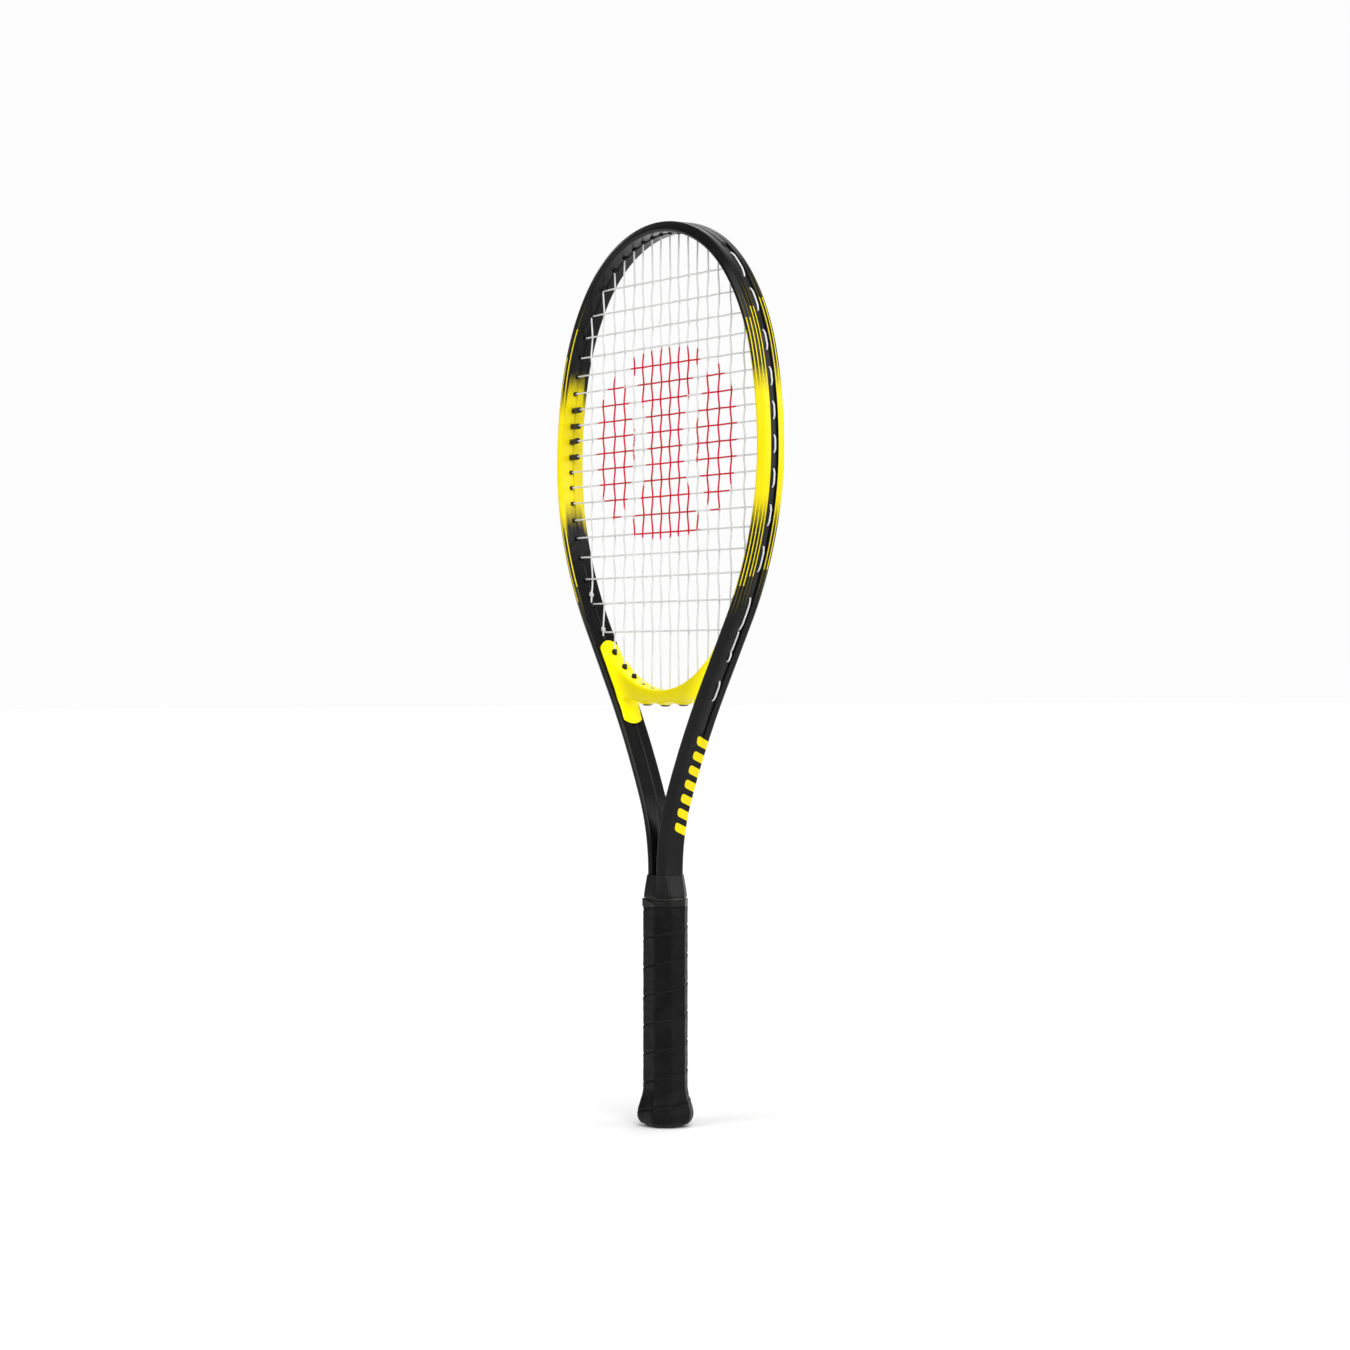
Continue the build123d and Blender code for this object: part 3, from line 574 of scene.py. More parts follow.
def build_frame():
    """The painted tube from one shaft's foot round the head to the other's, skinned over its section."""
    section = full_section()
    stations = [(-1, i) for i in range(len(HALF) - 1, 0, -1)] + [(1, i) for i in range(len(HALF))]
    points, reaches, badges = [], [], []
    start = next(i for i, p in enumerate(HALF) if p[1] < BADGE_TOP_Z)
    distances = [0.0]
    for a, b in zip(HALF, HALF[1:]):
        distances.append(distances[-1] + math.hypot(b[0] - a[0], b[1] - a[1]))
    for side, i in stations:
        x, z, nx, nz = HALF[i]
        cut = smooth_step((z - CHANNEL_END_Z + 4.0) / 12.0)
        for lane, u, y, share, cut_u, cut_y in section:
            k = cut * share
            pu, py = u + (cut_u - u) * k, y + (cut_y - y) * k
            points.append((side * (x + nx * pu), py, z + nz * pu))
            reaches.append(abs(lane))
            marked = side > 0 and z < 330
            badges.append(badge_value(distances[i] - distances[start], lane) if marked else NO_BADGE)
    rows, columns = len(stations), len(section)
    faces = grid_faces(rows, columns)
    faces.append(tuple(range(columns)))
    faces.append(tuple(reversed(range((rows - 1) * columns, rows * columns))))
    piece = add_piece("frame_paintwork", points, faces, FRAME_PAINT)
    add_float(piece, "reach", reaches)
    add_float(piece, "badge", badges)
    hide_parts("frame_tube")


build_frame()


# ---- string layout

STRING_R = 0.7
STRING_PITCH, CROSS_MID_Z = 12.4, 525.0
GUARDED = (7, 8, 9, 10)
WEAVE = 0.56
STRIP_U = 2.8
LOOP_U = 3.45
ANGLED = {3: (85.5, 358.5), 4: (76.8, 342.8), 5: (67.3, 328.8)}
BRIDGE_TOP_Z, BRIDGE_TOP_R, BRIDGE_UNDER_Z = 337.0, 104.0, 326.8


def main_x(n):
    """Mains 1 to 16 from left to right, spread more towards the sides."""
    steps = n - 8.5
    spread = STRING_PITCH * abs(steps) + 0.0114 * abs(steps) ** 3.5
    return math.copysign(spread, steps)


def cross_z(n):
    """Crosses 1 to 19 from the top down, spread more towards both ends."""
    steps = 10 - n
    growth = 0.0083 if steps > 0 else -0.0141
    return CROSS_MID_Z + STRING_PITCH * steps + growth * abs(steps) ** 3.5


def bridge_top(x):
    return BRIDGE_TOP_Z + BRIDGE_TOP_R - math.sqrt(BRIDGE_TOP_R ** 2 - x * x)


def inside(m, c):
    return abs(main_x(m)) < head_x(cross_z(c), GROOVE_U)


MAIN_TOPS = {m: top_index(main_x(m), LOOP_U) for m in range(1, 17)}
CROSS_ENDS = {c: find(cross_z(c), 1, 0.0, LAST, LOOP_U) for c in range(1, 20)}

# Each cross turns round to the next one at the left (-1) or the right (1)
CROSS_TURNS = [(c, -1) for c in range(1, 18, 2)] + [(c, 1) for c in range(2, 19, 2)]


def top_pair(m):
    """The places of two neighbouring mains' top holes, negative on the left."""
    return [math.copysign(MAIN_TOPS[k], main_x(k)) for k in (m, m + 1)]


def main_bottom(m):
    """Where a main leaves at the throat: its point, and its place along the outline or None."""
    pair, side = min(m, 17 - m), math.copysign(1, main_x(m))
    if pair < 3:
        index = bottom_index(main_x(m), LOOP_U)
        return (main_x(m), 0.0, at(index, LOOP_U)[1]), index
    if pair in ANGLED:
        z = ANGLED[pair][1]
        index = find(z, 1, 0.0, LAST, LOOP_U)
        return (side * at(index, LOOP_U)[0], 0.0, z), index
    return (main_x(m), 0.0, BRIDGE_UNDER_Z + 0.4), None


def weave(m, c):
    return WEAVE if (m + c) % 2 == 0 else -WEAVE


def eased(points, step=1.6):
    """Follows the given points with the sideways offset easing from one crossing to the next."""
    out = []
    for a, b in zip(points, points[1:]):
        a, b = Vector(a), Vector(b)
        count = max(1, round((b - a).length / step))
        for i in range(count):
            t = i / count
            p = a.lerp(b, t)
            p.y = a.y + (b.y - a.y) * smooth_step(t)
            out.append(p)
    out.append(Vector(points[-1]))
    return out


def main_run(m):
    """The points a main passes, from the throat to the tip."""
    x = main_x(m)
    end, _ = main_bottom(m)
    points = [end]
    if min(m, 17 - m) > 2:
        points.append((x, 0.0, bridge_top(x) + 1.0))
    mouth = at(bottom_index(x, -HALF_U), -HALF_U)[1] if min(m, 17 - m) < 3 else bridge_top(x)
    heights = [c for c in range(19, 0, -1) if inside(m, c)]
    if cross_z(heights[0]) - mouth > 4:
        points.append((x, 0.0, mouth + 2.0))
    for c in heights:
        points.append((x + rng.uniform(-0.06, 0.06), weave(m, c), cross_z(c)))
    z_top = at(MAIN_TOPS[m], LOOP_U)[1]
    points.append((x, 0.0, z_top - 8.0))
    points.append((x, 0.0, z_top))
    if points[-2][2] < points[-3][2] + 1.0:
        points.pop(-2)
    return points


def cross_run(c):
    """The points a cross passes, from left to right."""
    z = cross_z(c)
    reach = at(CROSS_ENDS[c], LOOP_U)[0]
    mouth = head_x(z, -HALF_U)
    guard = 10.6 if c in GUARDED else 2.0
    mains = [m for m in range(1, 17) if inside(m, c)]
    level = mouth - main_x(mains[-1]) > 4
    points = [(-reach, 0.0, z)]
    if level:
        points.append((guard - mouth, 0.0, z))
    for m in mains:
        points.append((main_x(m), -weave(m, c), z + rng.uniform(-0.04, 0.04)))
    if level:
        points.append((mouth - guard, 0.0, z))
    points.append((reach, 0.0, z))
    return points


def loop_points(a, b, side, bulge=1.1):
    """The loop outside the channel between two holes, given by their places along the outline.

    With side 0 the places carry their own sign, negative on the left."""
    count = 15
    out = []
    for i in range(count + 1):
        t = i / count
        index = a + (b - a) * t
        s = side or (1 if index > 0 else -1)
        rise = min(1.0, math.sin(math.pi * t) * 1.6) * bulge
        x, z, _, _ = at(abs(index), LOOP_U + rise)
        out.append((s * x, 0.0, z))
    return out


def under_loop(a, b):
    """The loop under the bridge between two mains."""
    shares = [i / 8 for i in range(9)]
    return [(a[0] + (b[0] - a[0]) * t, 0.0, a[2] - 0.5 * math.sin(math.pi * t)) for t in shares]


def build_strings():
    """The woven mains and crosses, and their loops in the channel and under the bridge."""
    mains, crosses = Shape(), Shape()
    loops = []
    for m in range(1, 17):
        mains.tube(eased(main_run(m)), STRING_R, 10)
    for c in range(1, 20):
        crosses.tube(eased(cross_run(c)), STRING_R, 10)
    for m in range(1, 16, 2):
        loops.append((mains, loop_points(*top_pair(m), 0, 1.1 if m in (1, 15) else -0.2)))
    for m in range(2, 15, 2):
        (pa, ia), (pb, ib) = main_bottom(m), main_bottom(m + 1)
        side = 1 if pa[0] > 0 else -1
        if ia is None and ib is None:
            loops.append((mains, under_loop(pa, pb)))
        elif ia is not None and ib is not None:
            loops.append((mains, loop_points(ia, ib, side)))
    for other, side in ((2, -1), (15, 1)):
        ib = main_bottom(other)[1]
        loops.append((mains, loop_points(CROSS_ENDS[19] + 2.0, ib - 0.8, side, 0.2)))
    for c, side in CROSS_TURNS:
        loops.append((crosses, loop_points(CROSS_ENDS[c], CROSS_ENDS[c + 1], side)))
    for shape, points in loops:
        first, last = Vector(points[0]), Vector(points[-1])
        middle = Vector(points[len(points) // 2])
        centre = Vector((0, 0, CROSS_MID_Z)) if middle.z > 330 else Vector((middle.x, 0, 600.0))
        into = [(p + (centre - p).normalized() * 1.8) for p in (first, last)]
        shape.tube([into[0]] + points + [into[1]], STRING_R, 10)
    named = ((mains, "mains_woven", "main_string"), (crosses, "crosses_woven", "cross_string"))
    for shape, name, node in named:
        piece = shape.piece(name, STRING)
        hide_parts(node)


build_strings()


def build_knots():
    """Four tie-off knots: three turns of string drawn tight on the main beside each tail."""
    shape = Shape()
    inward, turns = 5.2, 3
    for direction, number in ((1, 2), (1, 15), (-1, 15), (1, 1)):
        x = main_x(number)
        side = math.copysign(1, x)
        beside = x + side * 1.5
        index = bottom_index(beside, GROOVE_U) if direction > 0 else top_index(beside, GROOVE_U)
        z = at(index, GROOVE_U)[1] + direction * inward
        coil = []
        for i in range(49):
            t = 2 * math.pi * turns * i / 48
            height = z + direction * (i / 48 - 0.5) * 2.6
            coil.append((x + side * 0.75 + 1.35 * math.cos(t), 1.15 * math.sin(t), height))
        shape.tube(coil, 0.62, 9)
        end = (beside + side * 0.3, 0.4, z + direction * 3.0)
        shape.tube([(beside, 0, z - direction * 6.0), (beside, 0.2, z), end], 0.62, 9)
    piece = shape.piece("tie_off_knots", STRING)
    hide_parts("string_knots")


build_knots()


# ---- grommets and sleeves

def barrel_profile(length, outer, inner):
    """A barrel that stands out by length: a rounded lip and an open bore."""
    depth = 3.0
    lip = (outer - inner) * 0.45
    return [
        (-depth, outer + 0.25),
        (length - 0.9, outer + 0.05),
        (length - 0.35, outer - 0.05),
        (length - 0.08, outer - lip * 0.5),
        (length, outer - lip),
        (length - 0.08, inner + 0.1),
        (length - 0.4, inner),
        (-depth, inner),
    ]


def hole_list():
    """Every hole on the head's inner face: its side, mouth and direction into the head."""
    holes = []
    for c in range(1, 20):
        z = cross_z(c)
        for side in (-1, 1):
            holes.append((side, "cross", c, (side * head_x(z, GROOVE_U), 0, z), (-side, 0, 0)))
    for m in range(1, 17):
        x = main_x(m)
        side = 1 if x > 0 else -1
        z = at(top_index(x, GROOVE_U), GROOVE_U)[1]
        holes.append((side, "top", m, (x, 0, z), (0, 0, -1)))
        if min(m, 17 - m) < 3:
            z = at(bottom_index(x, GROOVE_U), GROOVE_U)[1]
            holes.append((side, "bottom", m, (x, 0, z), (0, 0, 1)))
    return holes


HEAD_SPLIT_Z = 669.0


def flush_profile(share):
    """The head strip's section, level with the paint around it; share sinks it at its two ends."""
    low = 0.9 * (1 - share)
    half = [(CHANNEL_U - 0.2, 2.7), (CHANNEL_U + 0.5, 2.85)]
    half += [(3.55 - low, 2.97), (4.12 - low, 2.75), (4.2 - low, 1.4)]
    return [(u, -y) for u, y in half] + [(4.23 - low, 0.0)] + half[::-1]


def saddle_profile(lift, front, rear):
    """A side strip's section: its crown stands up by lift, its edges by front and rear."""
    return [
        (CHANNEL_U - 0.2, -2.7), (CHANNEL_U + 0.5, -2.78), (STRIP_U - 0.25 + front, -2.7),
        (STRIP_U + front, -2.4), (STRIP_U + 0.12 + max(lift * 0.7, front), -1.2),
        (STRIP_U + 0.16 + lift, 0.0), (STRIP_U + 0.12 + max(lift * 0.7, rear * 0.8), 1.2),
        (STRIP_U + rear, 2.4), (STRIP_U - 0.25 + rear, 2.7), (CHANNEL_U + 0.5, 2.78),
        (CHANNEL_U - 0.2, 2.7),
    ]


def strip_row(index, profile):
    """One ring of a strip at a place along the outline, negative on the left."""
    side = 1 if index >= 0 else -1
    row = []
    for u, y in profile:
        x, z, _, _ = at(abs(index), u)
        row.append((side * x, y, z))
    return row


def loop_spans():
    """The stretches of the channel that lie under a string loop, as outline places."""
    spans = [tuple(sorted(top_pair(m))) for m in range(1, 16, 2)]
    for c, side in CROSS_TURNS:
        spans.append(tuple(sorted((side * CROSS_ENDS[c], side * CROSS_ENDS[c + 1]))))
    return spans


SPANS = loop_spans()


def saddle_lift(index):
    """The strip's rise beneath a loop: a low saddle between its two holes."""
    best = 0.0
    for a, b in SPANS:
        if a < index < b:
            t = (index - a) / (b - a)
            best = max(best, math.sin(math.pi * t) ** 0.6)
    return best


def build_strips():
    """The three grommet strips in the channel, each with a barrel through every hole it covers."""
    split = find(HEAD_SPLIT_Z, 1, 0.0, LAST, 0.0)
    end = find(CHANNEL_END_Z + 5.0, 1, 0.0, LAST, 0.0)
    ranges = {
        "grommet_strip_head": (-split + 0.4, split - 0.4, 0),
        "grommet_strip_right": (split + 0.4, end, 1),
        "grommet_strip_left": (-end, -split - 0.4, -1),
    }
    holes = hole_list()
    for node, (low, high, only) in ranges.items():
        shape = Shape()
        count = round((high - low) / 0.9)
        rows = []
        for i in range(count + 1):
            index = low + (high - low) * i / count
            near = min(1.0, (i / 3.0), (count - i) / 3.0)
            if only:
                lift = saddle_lift(index)
                wave = 0.28 * lift
                profile = saddle_profile(lift * near, 0.1 * wave, 1.6 * wave)
            else:
                profile = flush_profile(near)
            rows.append(strip_row(index, profile))
        shape.grid(rows, caps=True)
        for side, kind, number, mouth, direction in holes:
            on_head = kind == "top" and abs(mouth[2]) > HEAD_SPLIT_Z - 4.0
            if on_head != (node == "grommet_strip_head") or (only and side != only):
                continue
            if kind == "cross" and number in GUARDED:
                shape.turned(mouth, direction, barrel_profile(0.7, 1.7, 0.75), 18)
                continue
            stand = 2.2
            if kind == "cross" and number in (2, 18) or number in (1, 16) and kind != "cross":
                stand = 1.1
            shape.turned(mouth, direction, barrel_profile(stand, 1.62, 0.74), 18)
        piece = shape.piece(node + "_moulding", GROMMET if only else BUMPER)
        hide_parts(node)


build_strips()


def build_sleeves():
    """Capsule-like rubber sleeves on four crosses at each side of the head."""
    for side, word in ((-1, "left"), (1, "right")):
        for order, c in enumerate(GUARDED, start=1):
            z = cross_z(c)
            start = head_x(z, GROOVE_U) - 0.3
            tilt = (0.02, -0.03, 0.10, 0.0)[order - 1]
            shape = Shape()
            outer, bore, length = 2.42, 0.8, 10.4
            profile = [(-1.4, 1.9)]
            for along, r in arc_points(0.9, outer - 1.1, 1.1, 180, 90, 5):
                profile.append((along - 0.2, r))
            for t in range(1, 8):
                profile.append((0.9 + (length - 2.2) * t / 8, outer - 0.05 * math.sin(math.pi * t / 8)))
            for along, r in arc_points(length - 1.2, outer - 1.2, 1.2, 90, 0, 6):
                profile.append((along, r))
            profile += [(length, bore + 0.35), (length - 0.25, bore), (-1.4, bore)]
            axis = (-side, 0.0, tilt)
            shape.turned((side * start, 0.0, z - 0.35 - tilt * 1.5), axis, profile, 26)
            piece = shape.piece(f"sleeve_{word}_{order}", SLEEVE)
            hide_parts(f"shock_sleeve_{word}_{order}")


build_sleeves()


# ---- throat bridge

SWELLINGS = (-25.2, 0.0, 25.2)


def bridge_under(x):
    """The height of the bridge's underside at x."""
    return BRIDGE_UNDER_Z + 0.6 * (x / 27.0) ** 2


def swelling(shape, middle, half_x, half_y, depth):
    """A low rounded swelling under the bridge, closed inside it."""
    rows = []
    for i in range(1, 24):
        t = i / 24
        x = middle + (2 * t - 1) * half_x
        swell = math.sin(math.pi * t)
        row = []
        for k in range(24):
            a = 2 * math.pi * k / 24
            c, d = math.cos(a), math.sin(a)
            y = half_y * math.copysign(abs(c) ** 0.5, c) * (0.7 + 0.3 * swell)
            row.append((x, y, bridge_under(x) + 1.2 - (d * (depth + 1.2) * swell if d > 0 else d * 0.8)))
        rows.append(row)
    shape.grid(rows, caps=True)


def round_tongue(point):
    """Rounds the four ends into tongues and thickens the ears; returns the distance to the shaft."""
    x, y, z = (value / MM for value in point)
    reach = min(1.0, abs(y) / 8.5)
    slide = 9.0 * (1 - math.sqrt(max(0.0, 1 - reach * reach * 0.97)))
    low = smooth_step((324.0 - z) / 12.0) if abs(x) > 40 else 0.0
    high = smooth_step((z - 356.0) / 14.0)
    index = find(min(max(z, 300.0), 380.0), 1, WIDEST, LAST, -HALF_U)
    _, _, nx, nz = at(index, 0.0)
    along = slide * (low - 1.1 * high)
    side = math.copysign(1, x)
    away = at(index, -HALF_U)[0] - abs(x)
    ear = math.exp(-((z - 321.0) / 9.0) ** 2) * (1 - smooth_step((z - 325.0) / 9.0))
    push = 4.2 * ear * smooth_step(away / 2.5) * (1 - smooth_step((away - 6.0) / 10.0))
    wider = 0.12 + 0.12 * smooth_step((338.0 - z) / 12.0)
    point.y *= 1.0 + wider * (1 - smooth_step(away / 8.0)) - 0.1 * smooth_step(away / 20.0)
    point.x += -side * (nz * along + push) * MM
    point.z += nx * along * MM
    return away


def build_bridge():
    """The bridge's own form with every edge softened, as the moulding has it."""
    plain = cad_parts["throat_bridge"].data
    shape = Shape()
    shape.points = [tuple(v.co / MM) for v in plain.vertices]
    shape.faces = [tuple(p.vertices) for p in plain.polygons]
    for middle in SWELLINGS:
        swelling(shape, middle, 8.0, 7.9, 2.3)
    piece = shape.piece("bridge_moulding", BRIDGE)
    remesh = piece.modifiers.new("merge", "REMESH")
    remesh.mode = "VOXEL"
    remesh.voxel_size = 0.5 * MM
    apply_modifiers(piece)
    distances = [round_tongue(vertex.co) for vertex in piece.data.vertices]
    soften = piece.modifiers.new("soften", "SMOOTH")
    soften.iterations = 8
    blend = piece.modifiers.new("blend", "SMOOTH")
    blend.iterations = 140
    blend.vertex_group = "junction"
    group = piece.vertex_groups.new(name="junction")
    for vertex in piece.data.vertices:
        away = math.hypot(abs(vertex.co.x) / MM - 48.0, vertex.co.z / MM - 326.5)
        share = max(math.exp(-(away / 6.5) ** 2), 0.4 * smooth_step((331.0 - vertex.co.z / MM) / 2.5))
        if abs(vertex.co.y) > 5.0 * MM and 322 * MM < vertex.co.z < 338 * MM:
            share = max(share, 0.55)
        if share > 0.02 and vertex.co.z > 312 * MM:
            group.add([vertex.index], share, "REPLACE")
    apply_modifiers(piece)
    piece.data.polygons.foreach_set("use_smooth", [True] * len(piece.data.polygons))
    # Painted shade: forward-facing vertices get a deeper yellow, fading out near the shafts.
    front_shade = [max(0.0, -vertex.normal.y) ** 1.5 for vertex in piece.data.vertices]
    add_float(piece, "painted_front_shade", [f * smooth_step(d / 24.0) for f, d in zip(front_shade, distances)])
    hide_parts("throat_bridge")


def apply_modifiers(piece):
    bpy.context.view_layer.update()
    graph = bpy.context.evaluated_depsgraph_get()
    made = bpy.data.meshes.new_from_object(piece.evaluated_get(graph))
    piece.modifiers.clear()
    piece.data = made


build_bridge()


def build_bushes():
    """Bushes in the bridge's top face: tall ones near the shafts, flush ones between, and dark lenses
    below the bridge's swellings as painted shade under them.
    """
    shape = Shape()
    for m in range(3, 15):
        x = main_x(m)
        z = bridge_top(x)
        if min(m, 17 - m) > 5:
            profile = [(-3.2, 1.2), (-0.3, 1.18), (-0.2, 1.0), (-0.3, 0.74), (-3.2, 0.74)]
            shape.turned((x, 0.0, z), (0, 0, 1), profile, 20)
            continue
        normal = Vector((-x / BRIDGE_TOP_R, 0, math.sqrt(1 - (x / BRIDGE_TOP_R) ** 2)))
        lean = (Vector((0, 0, 1)) * 0.8 + normal * 0.2).normalized()
        profile = [(-3.2, 1.95), (1.6, 1.9), (2.3, 1.72), (2.6, 1.35), (2.5, 0.95), (2.1, 0.76)]
        profile.append((-3.2, 0.76))
        shape.turned((x, 0.0, z), lean, profile, 20)
    # Painted shade: black lenses set just under the yellow swellings darken their undersides.
    for middle in SWELLINGS:
        swelling(shape, middle, 5.6, 5.0, 2.9)
    piece = shape.piece("bridge_bushes", GROMMET)
    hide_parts("bridge_grommets")


build_bushes()


# ---- handle

GRIP_X, GRIP_Y = 34.6, 31.0
CHAMFER = 0.256
FLARE_TOP, FLARE_Z, FLARE, BUTT_FLAT = 30.0, 8.8, 8.4, 16.0
WRAP_TOP, WRAP_FOOT, TAPE_TOP = 169.6, 2.2, 175.8


def octagon_ring(x_size, y_size, corner):
    """A rounded octagon as a closed ring of (x, y), the same count for every size."""
    per_corner, per_side = 5, 9
    cut = CHAMFER * x_size
    hx, hy = x_size / 2, y_size / 2
    base = [(hx, -hy + cut), (hx, hy - cut), (hx - cut, hy), (-hx + cut, hy),
            (-hx, hy - cut), (-hx, -hy + cut), (-hx + cut, -hy), (hx - cut, -hy)]
    ring = []
    for k in range(8):
        before, here, after = (Vector(base[(k + d) % 8]) for d in (-1, 0, 1))
        back, forth = (before - here).normalized(), (after - here).normalized()
        reach = corner * math.tan(math.radians(22.5))
        start, end = here + back * reach, here + forth * reach
        centre = here + (back + forth).normalized() * (corner / math.cos(math.radians(22.5)))
        for i in range(per_corner):
            p = start.lerp(end, i / (per_corner - 1)) - centre
            ring.append(tuple(centre + p.normalized() * corner))
        stop = after + (here - after).normalized() * reach
        ring += [tuple(end.lerp(stop, i / (per_side + 1))) for i in range(1, per_side + 1)]
    return ring


def moved_out(x, y, z, move):
    """A point moved away from the handle's axis."""
    share = 1 + move / math.hypot(x, y)
    return x * share, y * share, z


def grip_size(z):
    """The octagon's two sizes at a height: straight, then flared to the butt and rounded under."""
    if z >= FLARE_TOP:
        grow = 0.0
    elif z >= FLARE_Z:
        t = (FLARE_TOP - z) / (FLARE_TOP - FLARE_Z)
        grow = FLARE * t * t * (3 - 2 * t)
    else:
        t = (FLARE_Z - z) / FLARE_Z
        grow = FLARE - BUTT_FLAT * (1 - math.sqrt(max(0.0, 1 - t * t)))
    return GRIP_X + grow, GRIP_Y + grow


WRAP_PITCH = 22.2
SEAM_ZERO = 18.8


def seam_height(angle):
    """The height of the spiral's first seam at an angle round the handle, seen from above."""
    return SEAM_ZERO + WRAP_PITCH * angle / (2 * math.pi)


def build_wrap():
    """One strip wound up the handle, each turn a little proud at its edge with a step at the seam."""
    step = 0.62
    heights = [WRAP_FOOT + i * step for i in range(int((WRAP_TOP - WRAP_FOOT) / step))] + [WRAP_TOP]
    rows, inner_rows, seams = [], [], []
    for z in heights:
        size_x, size_y = grip_size(z)
        corner = 3.4 if z > FLARE_TOP else 3.4 + 3.0 * (1 - z / FLARE_TOP)
        row, inner_row = [], []
        for x, y in octagon_ring(size_x, size_y, corner):
            angle = math.atan2(y, x) % (2 * math.pi)
            turn = ((z - seam_height(angle)) / WRAP_PITCH) % 1.0
            below = turn * WRAP_PITCH
            above = (1 - turn) * WRAP_PITCH
            sink = 0.5 * math.exp(-(min(below, above) / 0.6) ** 2)
            crown = 0.2 * math.exp(-((above - 1.9) / 1.3) ** 2)
            crown += 0.05 * math.exp(-((below - 2.6) / 1.5) ** 2)
            soft = 0.05 * math.sin(3.1 * angle + 0.21 * z) + 0.04 * math.sin(0.9 * z + 2.0 * angle)
            fade = min(1.0, (z - WRAP_FOOT) / 3.0, (WRAP_TOP - z) / 1.5 + 0.1)
            if z < 12.0:
                fade *= 0.35
            row.append(moved_out(x, y, z, (crown - sink + soft - 0.12) * fade))
            # The seam value is a painted shade mask, strongest in the seam groove.
            seams.append(min(1.0, 0.9 * math.exp(-(min(below, above) / 0.42) ** 2)) * fade)
            inner_row.append(moved_out(x, y, z, -1.7))
        rows.append(row)
        inner_rows.append(inner_row)
    shape = Shape()
    shape.grid(rows + inner_rows[::-1], wrap_rows=True)
    piece = shape.piece("wrap_spiral", LEATHER)
    add_float(piece, "seam", seams + [0.0] * (len(shape.points) - len(seams)))
    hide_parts("grip_wrap")


build_wrap()


def octagon_at(grow, z, share):
    """A ring of the tape, standing out over the wrap's pointed tail where the tail lies beneath it."""
    row = []
    for x, y in octagon_ring(GRIP_X + grow, GRIP_Y + grow, 3.3):
        turn = (math.degrees(math.atan2(y, x)) % 360 - 200.0) / 134.0
        spread = 5.2 * (1 - turn) if 0 <= turn <= 1 else -1.0
        out = smooth_step((spread - abs(z - 172.2)) / 0.4) * 0.65 * share if spread > 0 else 0.0
        wavy = 0.5 * math.sin(math.radians(turn * 134))
        step = 0.1 * smooth_step((z - 174.4 + wavy) / 0.4) * share
        row.append(moved_out(x, y, z, out + step))
    return row


def build_tape():
    """Two turns of glossy tape over the wrap's end, and the wrap's pointed tail tucked under it."""
    shape = Shape()
    heights = [WRAP_TOP + 0.1 + 0.3 * i for i in range(19)] + [TAPE_TOP - 0.1, TAPE_TOP]
    rows = [octagon_at(-3.4, heights[0], 0.0)]
    for z in heights:
        edge = min(z - heights[0], TAPE_TOP - z) / 0.5
        rows.append(octagon_at(-0.35 * max(0.0, 1 - edge), z, 1.0))
    rows.append(octagon_at(-3.4, TAPE_TOP, 0.0))
    shape.grid(rows, wrap_rows=True)
    piece = shape.piece("tape_band", TAPE)
    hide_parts("finishing_tape")


build_tape()


def build_collar():
    """The rubber collar: eight facets that narrow towards the top, a soft lip and an open bore."""
    shape = Shape()
    low = 176.5
    outline = [
        (0.0, 33.0, 29.6, 3.0), (0.4, 33.25, 29.85, 3.2), (1.6, 33.3, 29.9, 3.2),
        (3.0, 32.6, 29.6, 3.2), (6.0, 31.3, 29.1, 3.2), (10.0, 29.5, 28.2, 3.2),
        (14.0, 27.6, 27.1, 3.2), (16.6, 26.4, 26.4, 3.2), (17.3, 26.0, 26.1, 3.0),
        (17.7, 25.5, 25.5, 2.8), (17.7, 24.9, 24.9, 3.4), (17.3, 24.4, 24.4, 3.4),
        (9.0, 24.4, 24.4, 3.4), (8.5, 26.0, 26.0, 3.4), (0.0, 29.0, 26.0, 3.4),
    ]
    rows = [[(x, y, low + dz) for x, y in octagon_ring(*size)] for dz, *size in outline]
    shape.grid(rows, wrap_rows=True)
    piece = shape.piece("collar_sleeve", RUBBER, COLLAR)
    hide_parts("rubber_collar")


build_collar()


def build_butt():
    """The cap's shell under the wrap, its flat plug, and the ring where the plug sits."""
    shape = Shape()
    rows = []
    for z in (0.0, 0.25, 0.8, 1.6, 2.4, 4.0, 8.0):
        size_x, size_y = grip_size(z)
        inset = 3.2 if z > 2.0 else 1.2 + 2.0 * smooth_step(z / 2.4)
        rows.append([(x, y, z) for x, y in octagon_ring(size_x - inset, size_y - inset, 5.5)])
    for radius, z in ((12.0, 8.0), (9.0, 3.2), (8.2, 1.1), (8.05, 0.3), (8.3, 0.0)):
        ring = octagon_ring(*grip_size(z), 5.5)
        rows.append([moved_out(x, y, z, radius - math.hypot(x, y)) for x, y in ring])
    shape.grid(rows, wrap_rows=True)
    piece = shape.piece("cap_shell", CAP)
    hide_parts("butt_cap")

    plug = Shape()
    profile = [
        (2.2, 0.4), (2.2, 6.5), (1.6, 7.4), (0.6, 7.7), (0.12, 7.55), (0.02, 7.2), (0.02, 6.3),
        (0.3, 6.0), (0.45, 5.7), (0.45, 3.2), (0.3, 2.9), (0.1, 2.6), (0.1, 0.4),
    ]
    plug.turned((0, 0, 0), (0, 0, 1), profile, 48)
    piece = plug.piece("cap_plug", CAP)
    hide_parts("butt_cap_plug")


build_butt()

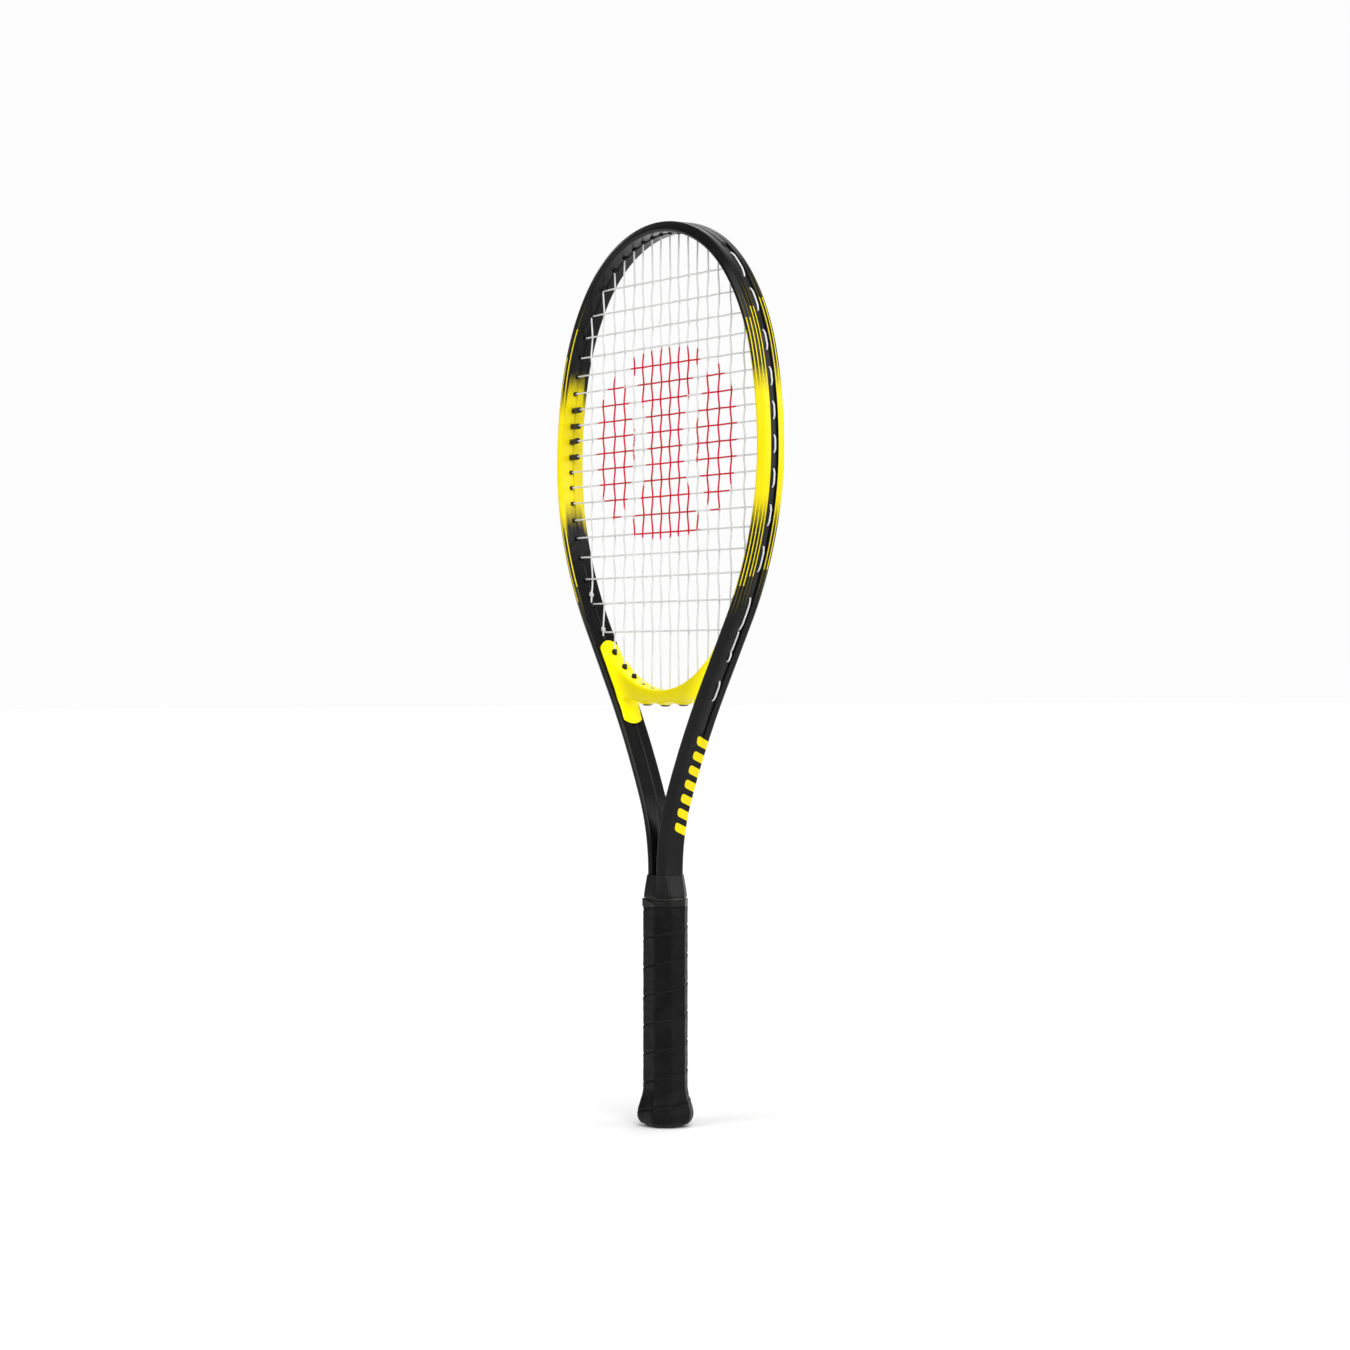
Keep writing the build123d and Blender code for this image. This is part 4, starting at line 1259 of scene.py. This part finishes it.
KEPT = {
    "handle_pallet_front": FOAM,
    "handle_pallet_rear": FOAM,
    "butt_cap_staples": STEEL,
    "grip_staple": STEEL,
}
for node, material in KEPT.items():
    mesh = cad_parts[node].data
    mesh.materials.clear()
    mesh.materials.append(material)


# ---- floor, light and camera

def build_floor():
    look = Look("studio_floor", (0.92, 0.92, 0.92), 0.9)
    patches = look.ramp(look.noise(0.004, 2.0), 0.3, 0.7)
    look.color(look.mix(patches, (0.91, 0.91, 0.91), (0.93, 0.93, 0.93)))
    size = 30.0
    corners = [(-size, -size, 0), (size, -size, 0), (size, size, 0), (-size, size, 0)]
    mesh = bpy.data.meshes.new("floor")
    mesh.from_pydata(corners, [], [(0, 1, 2, 3)])
    mesh.materials.append(look.material)
    floor = new_object("floor", mesh)
    floor.location.z = -0.0006


def sun(name, toward, power):
    """A broad soft light from far off, the same over the whole floor."""
    data = bpy.data.lights.new(name, "SUN")
    data.energy = power
    data.angle = math.radians(40)
    new_object(name, data).rotation_euler = Vector(toward).to_track_quat("Z", "Y").to_euler()


def build_light():
    """A world that is white behind the racket and dimmer round it, seen as plain white, and five suns."""
    world = bpy.data.worlds.new("studio")
    nodes = Nodes(world)
    around = nodes.node("ShaderNodeTexCoord").outputs["Generated"]
    turn = math.radians(CAMERA_AZIMUTH)

    def toward(direction):
        dot = nodes.node("ShaderNodeVectorMath", operation="DOT_PRODUCT")
        dot.inputs[1].default_value = direction
        nodes.link(around, dot.inputs[0])
        return dot.outputs["Value"]

    right = toward((math.sin(turn), math.cos(turn), 0.0))
    back = toward((-math.sin(turn), math.cos(turn), 0.0))
    sides = nodes.ramp(right, -1.0, 1.0, 0.14, 0.58, "LINEAR")
    lit = nodes.ramp(back, 0.78, 0.92, sides, BACKGROUND)
    camera_ray = nodes.node("ShaderNodeLightPath").outputs["Is Camera Ray"]
    strength = nodes.math("MAXIMUM", lit, nodes.times(camera_ray, BACKGROUND))
    background = nodes.tree.nodes["Background"]
    background.inputs["Color"].default_value = (1, 1, 1, 1)
    nodes.link(strength, background.inputs["Strength"])
    bpy.context.scene.world = world
    sun("key", (0.85, -0.35, 0.7), 1.9)
    sun("fill", (0.1, -1.0, 0.6), 1.1)
    sun("side", (0.83, 0.6, 0.25), 0.9)
    sun("back", (-0.6, 1.0, 0.9), 0.4)
    sun("top", (0.1, 0.0, 1.0), 0.4)


CAMERA_AZIMUTH = 56.3
CAMERA_DISTANCE = 2463.2
CAMERA_HEIGHT = 346.9
IMAGE = 1350.0
FOCAL_PX = 3181.0
AXIS_PX, HORIZON_PX = 665.44, 677.05
BACKGROUND = 0.98


def build_camera():
    data = bpy.data.cameras.new("camera")
    data.sensor_width = 36.0
    data.lens = FOCAL_PX / IMAGE * 36.0
    data.shift_x = (IMAGE / 2 - AXIS_PX) / IMAGE
    data.shift_y = (HORIZON_PX - IMAGE / 2) / IMAGE
    data.clip_start, data.clip_end = 0.05, 60.0
    camera = new_object("camera", data)
    a = math.radians(CAMERA_AZIMUTH)
    far = CAMERA_DISTANCE * MM
    camera.location = (far * math.sin(a), -far * math.cos(a), CAMERA_HEIGHT * MM)
    camera.rotation_euler = (math.radians(90), 0, a)
    bpy.context.scene.camera = camera


build_floor()
build_light()
build_camera()

bpy.context.scene.view_settings.view_transform = "Standard"
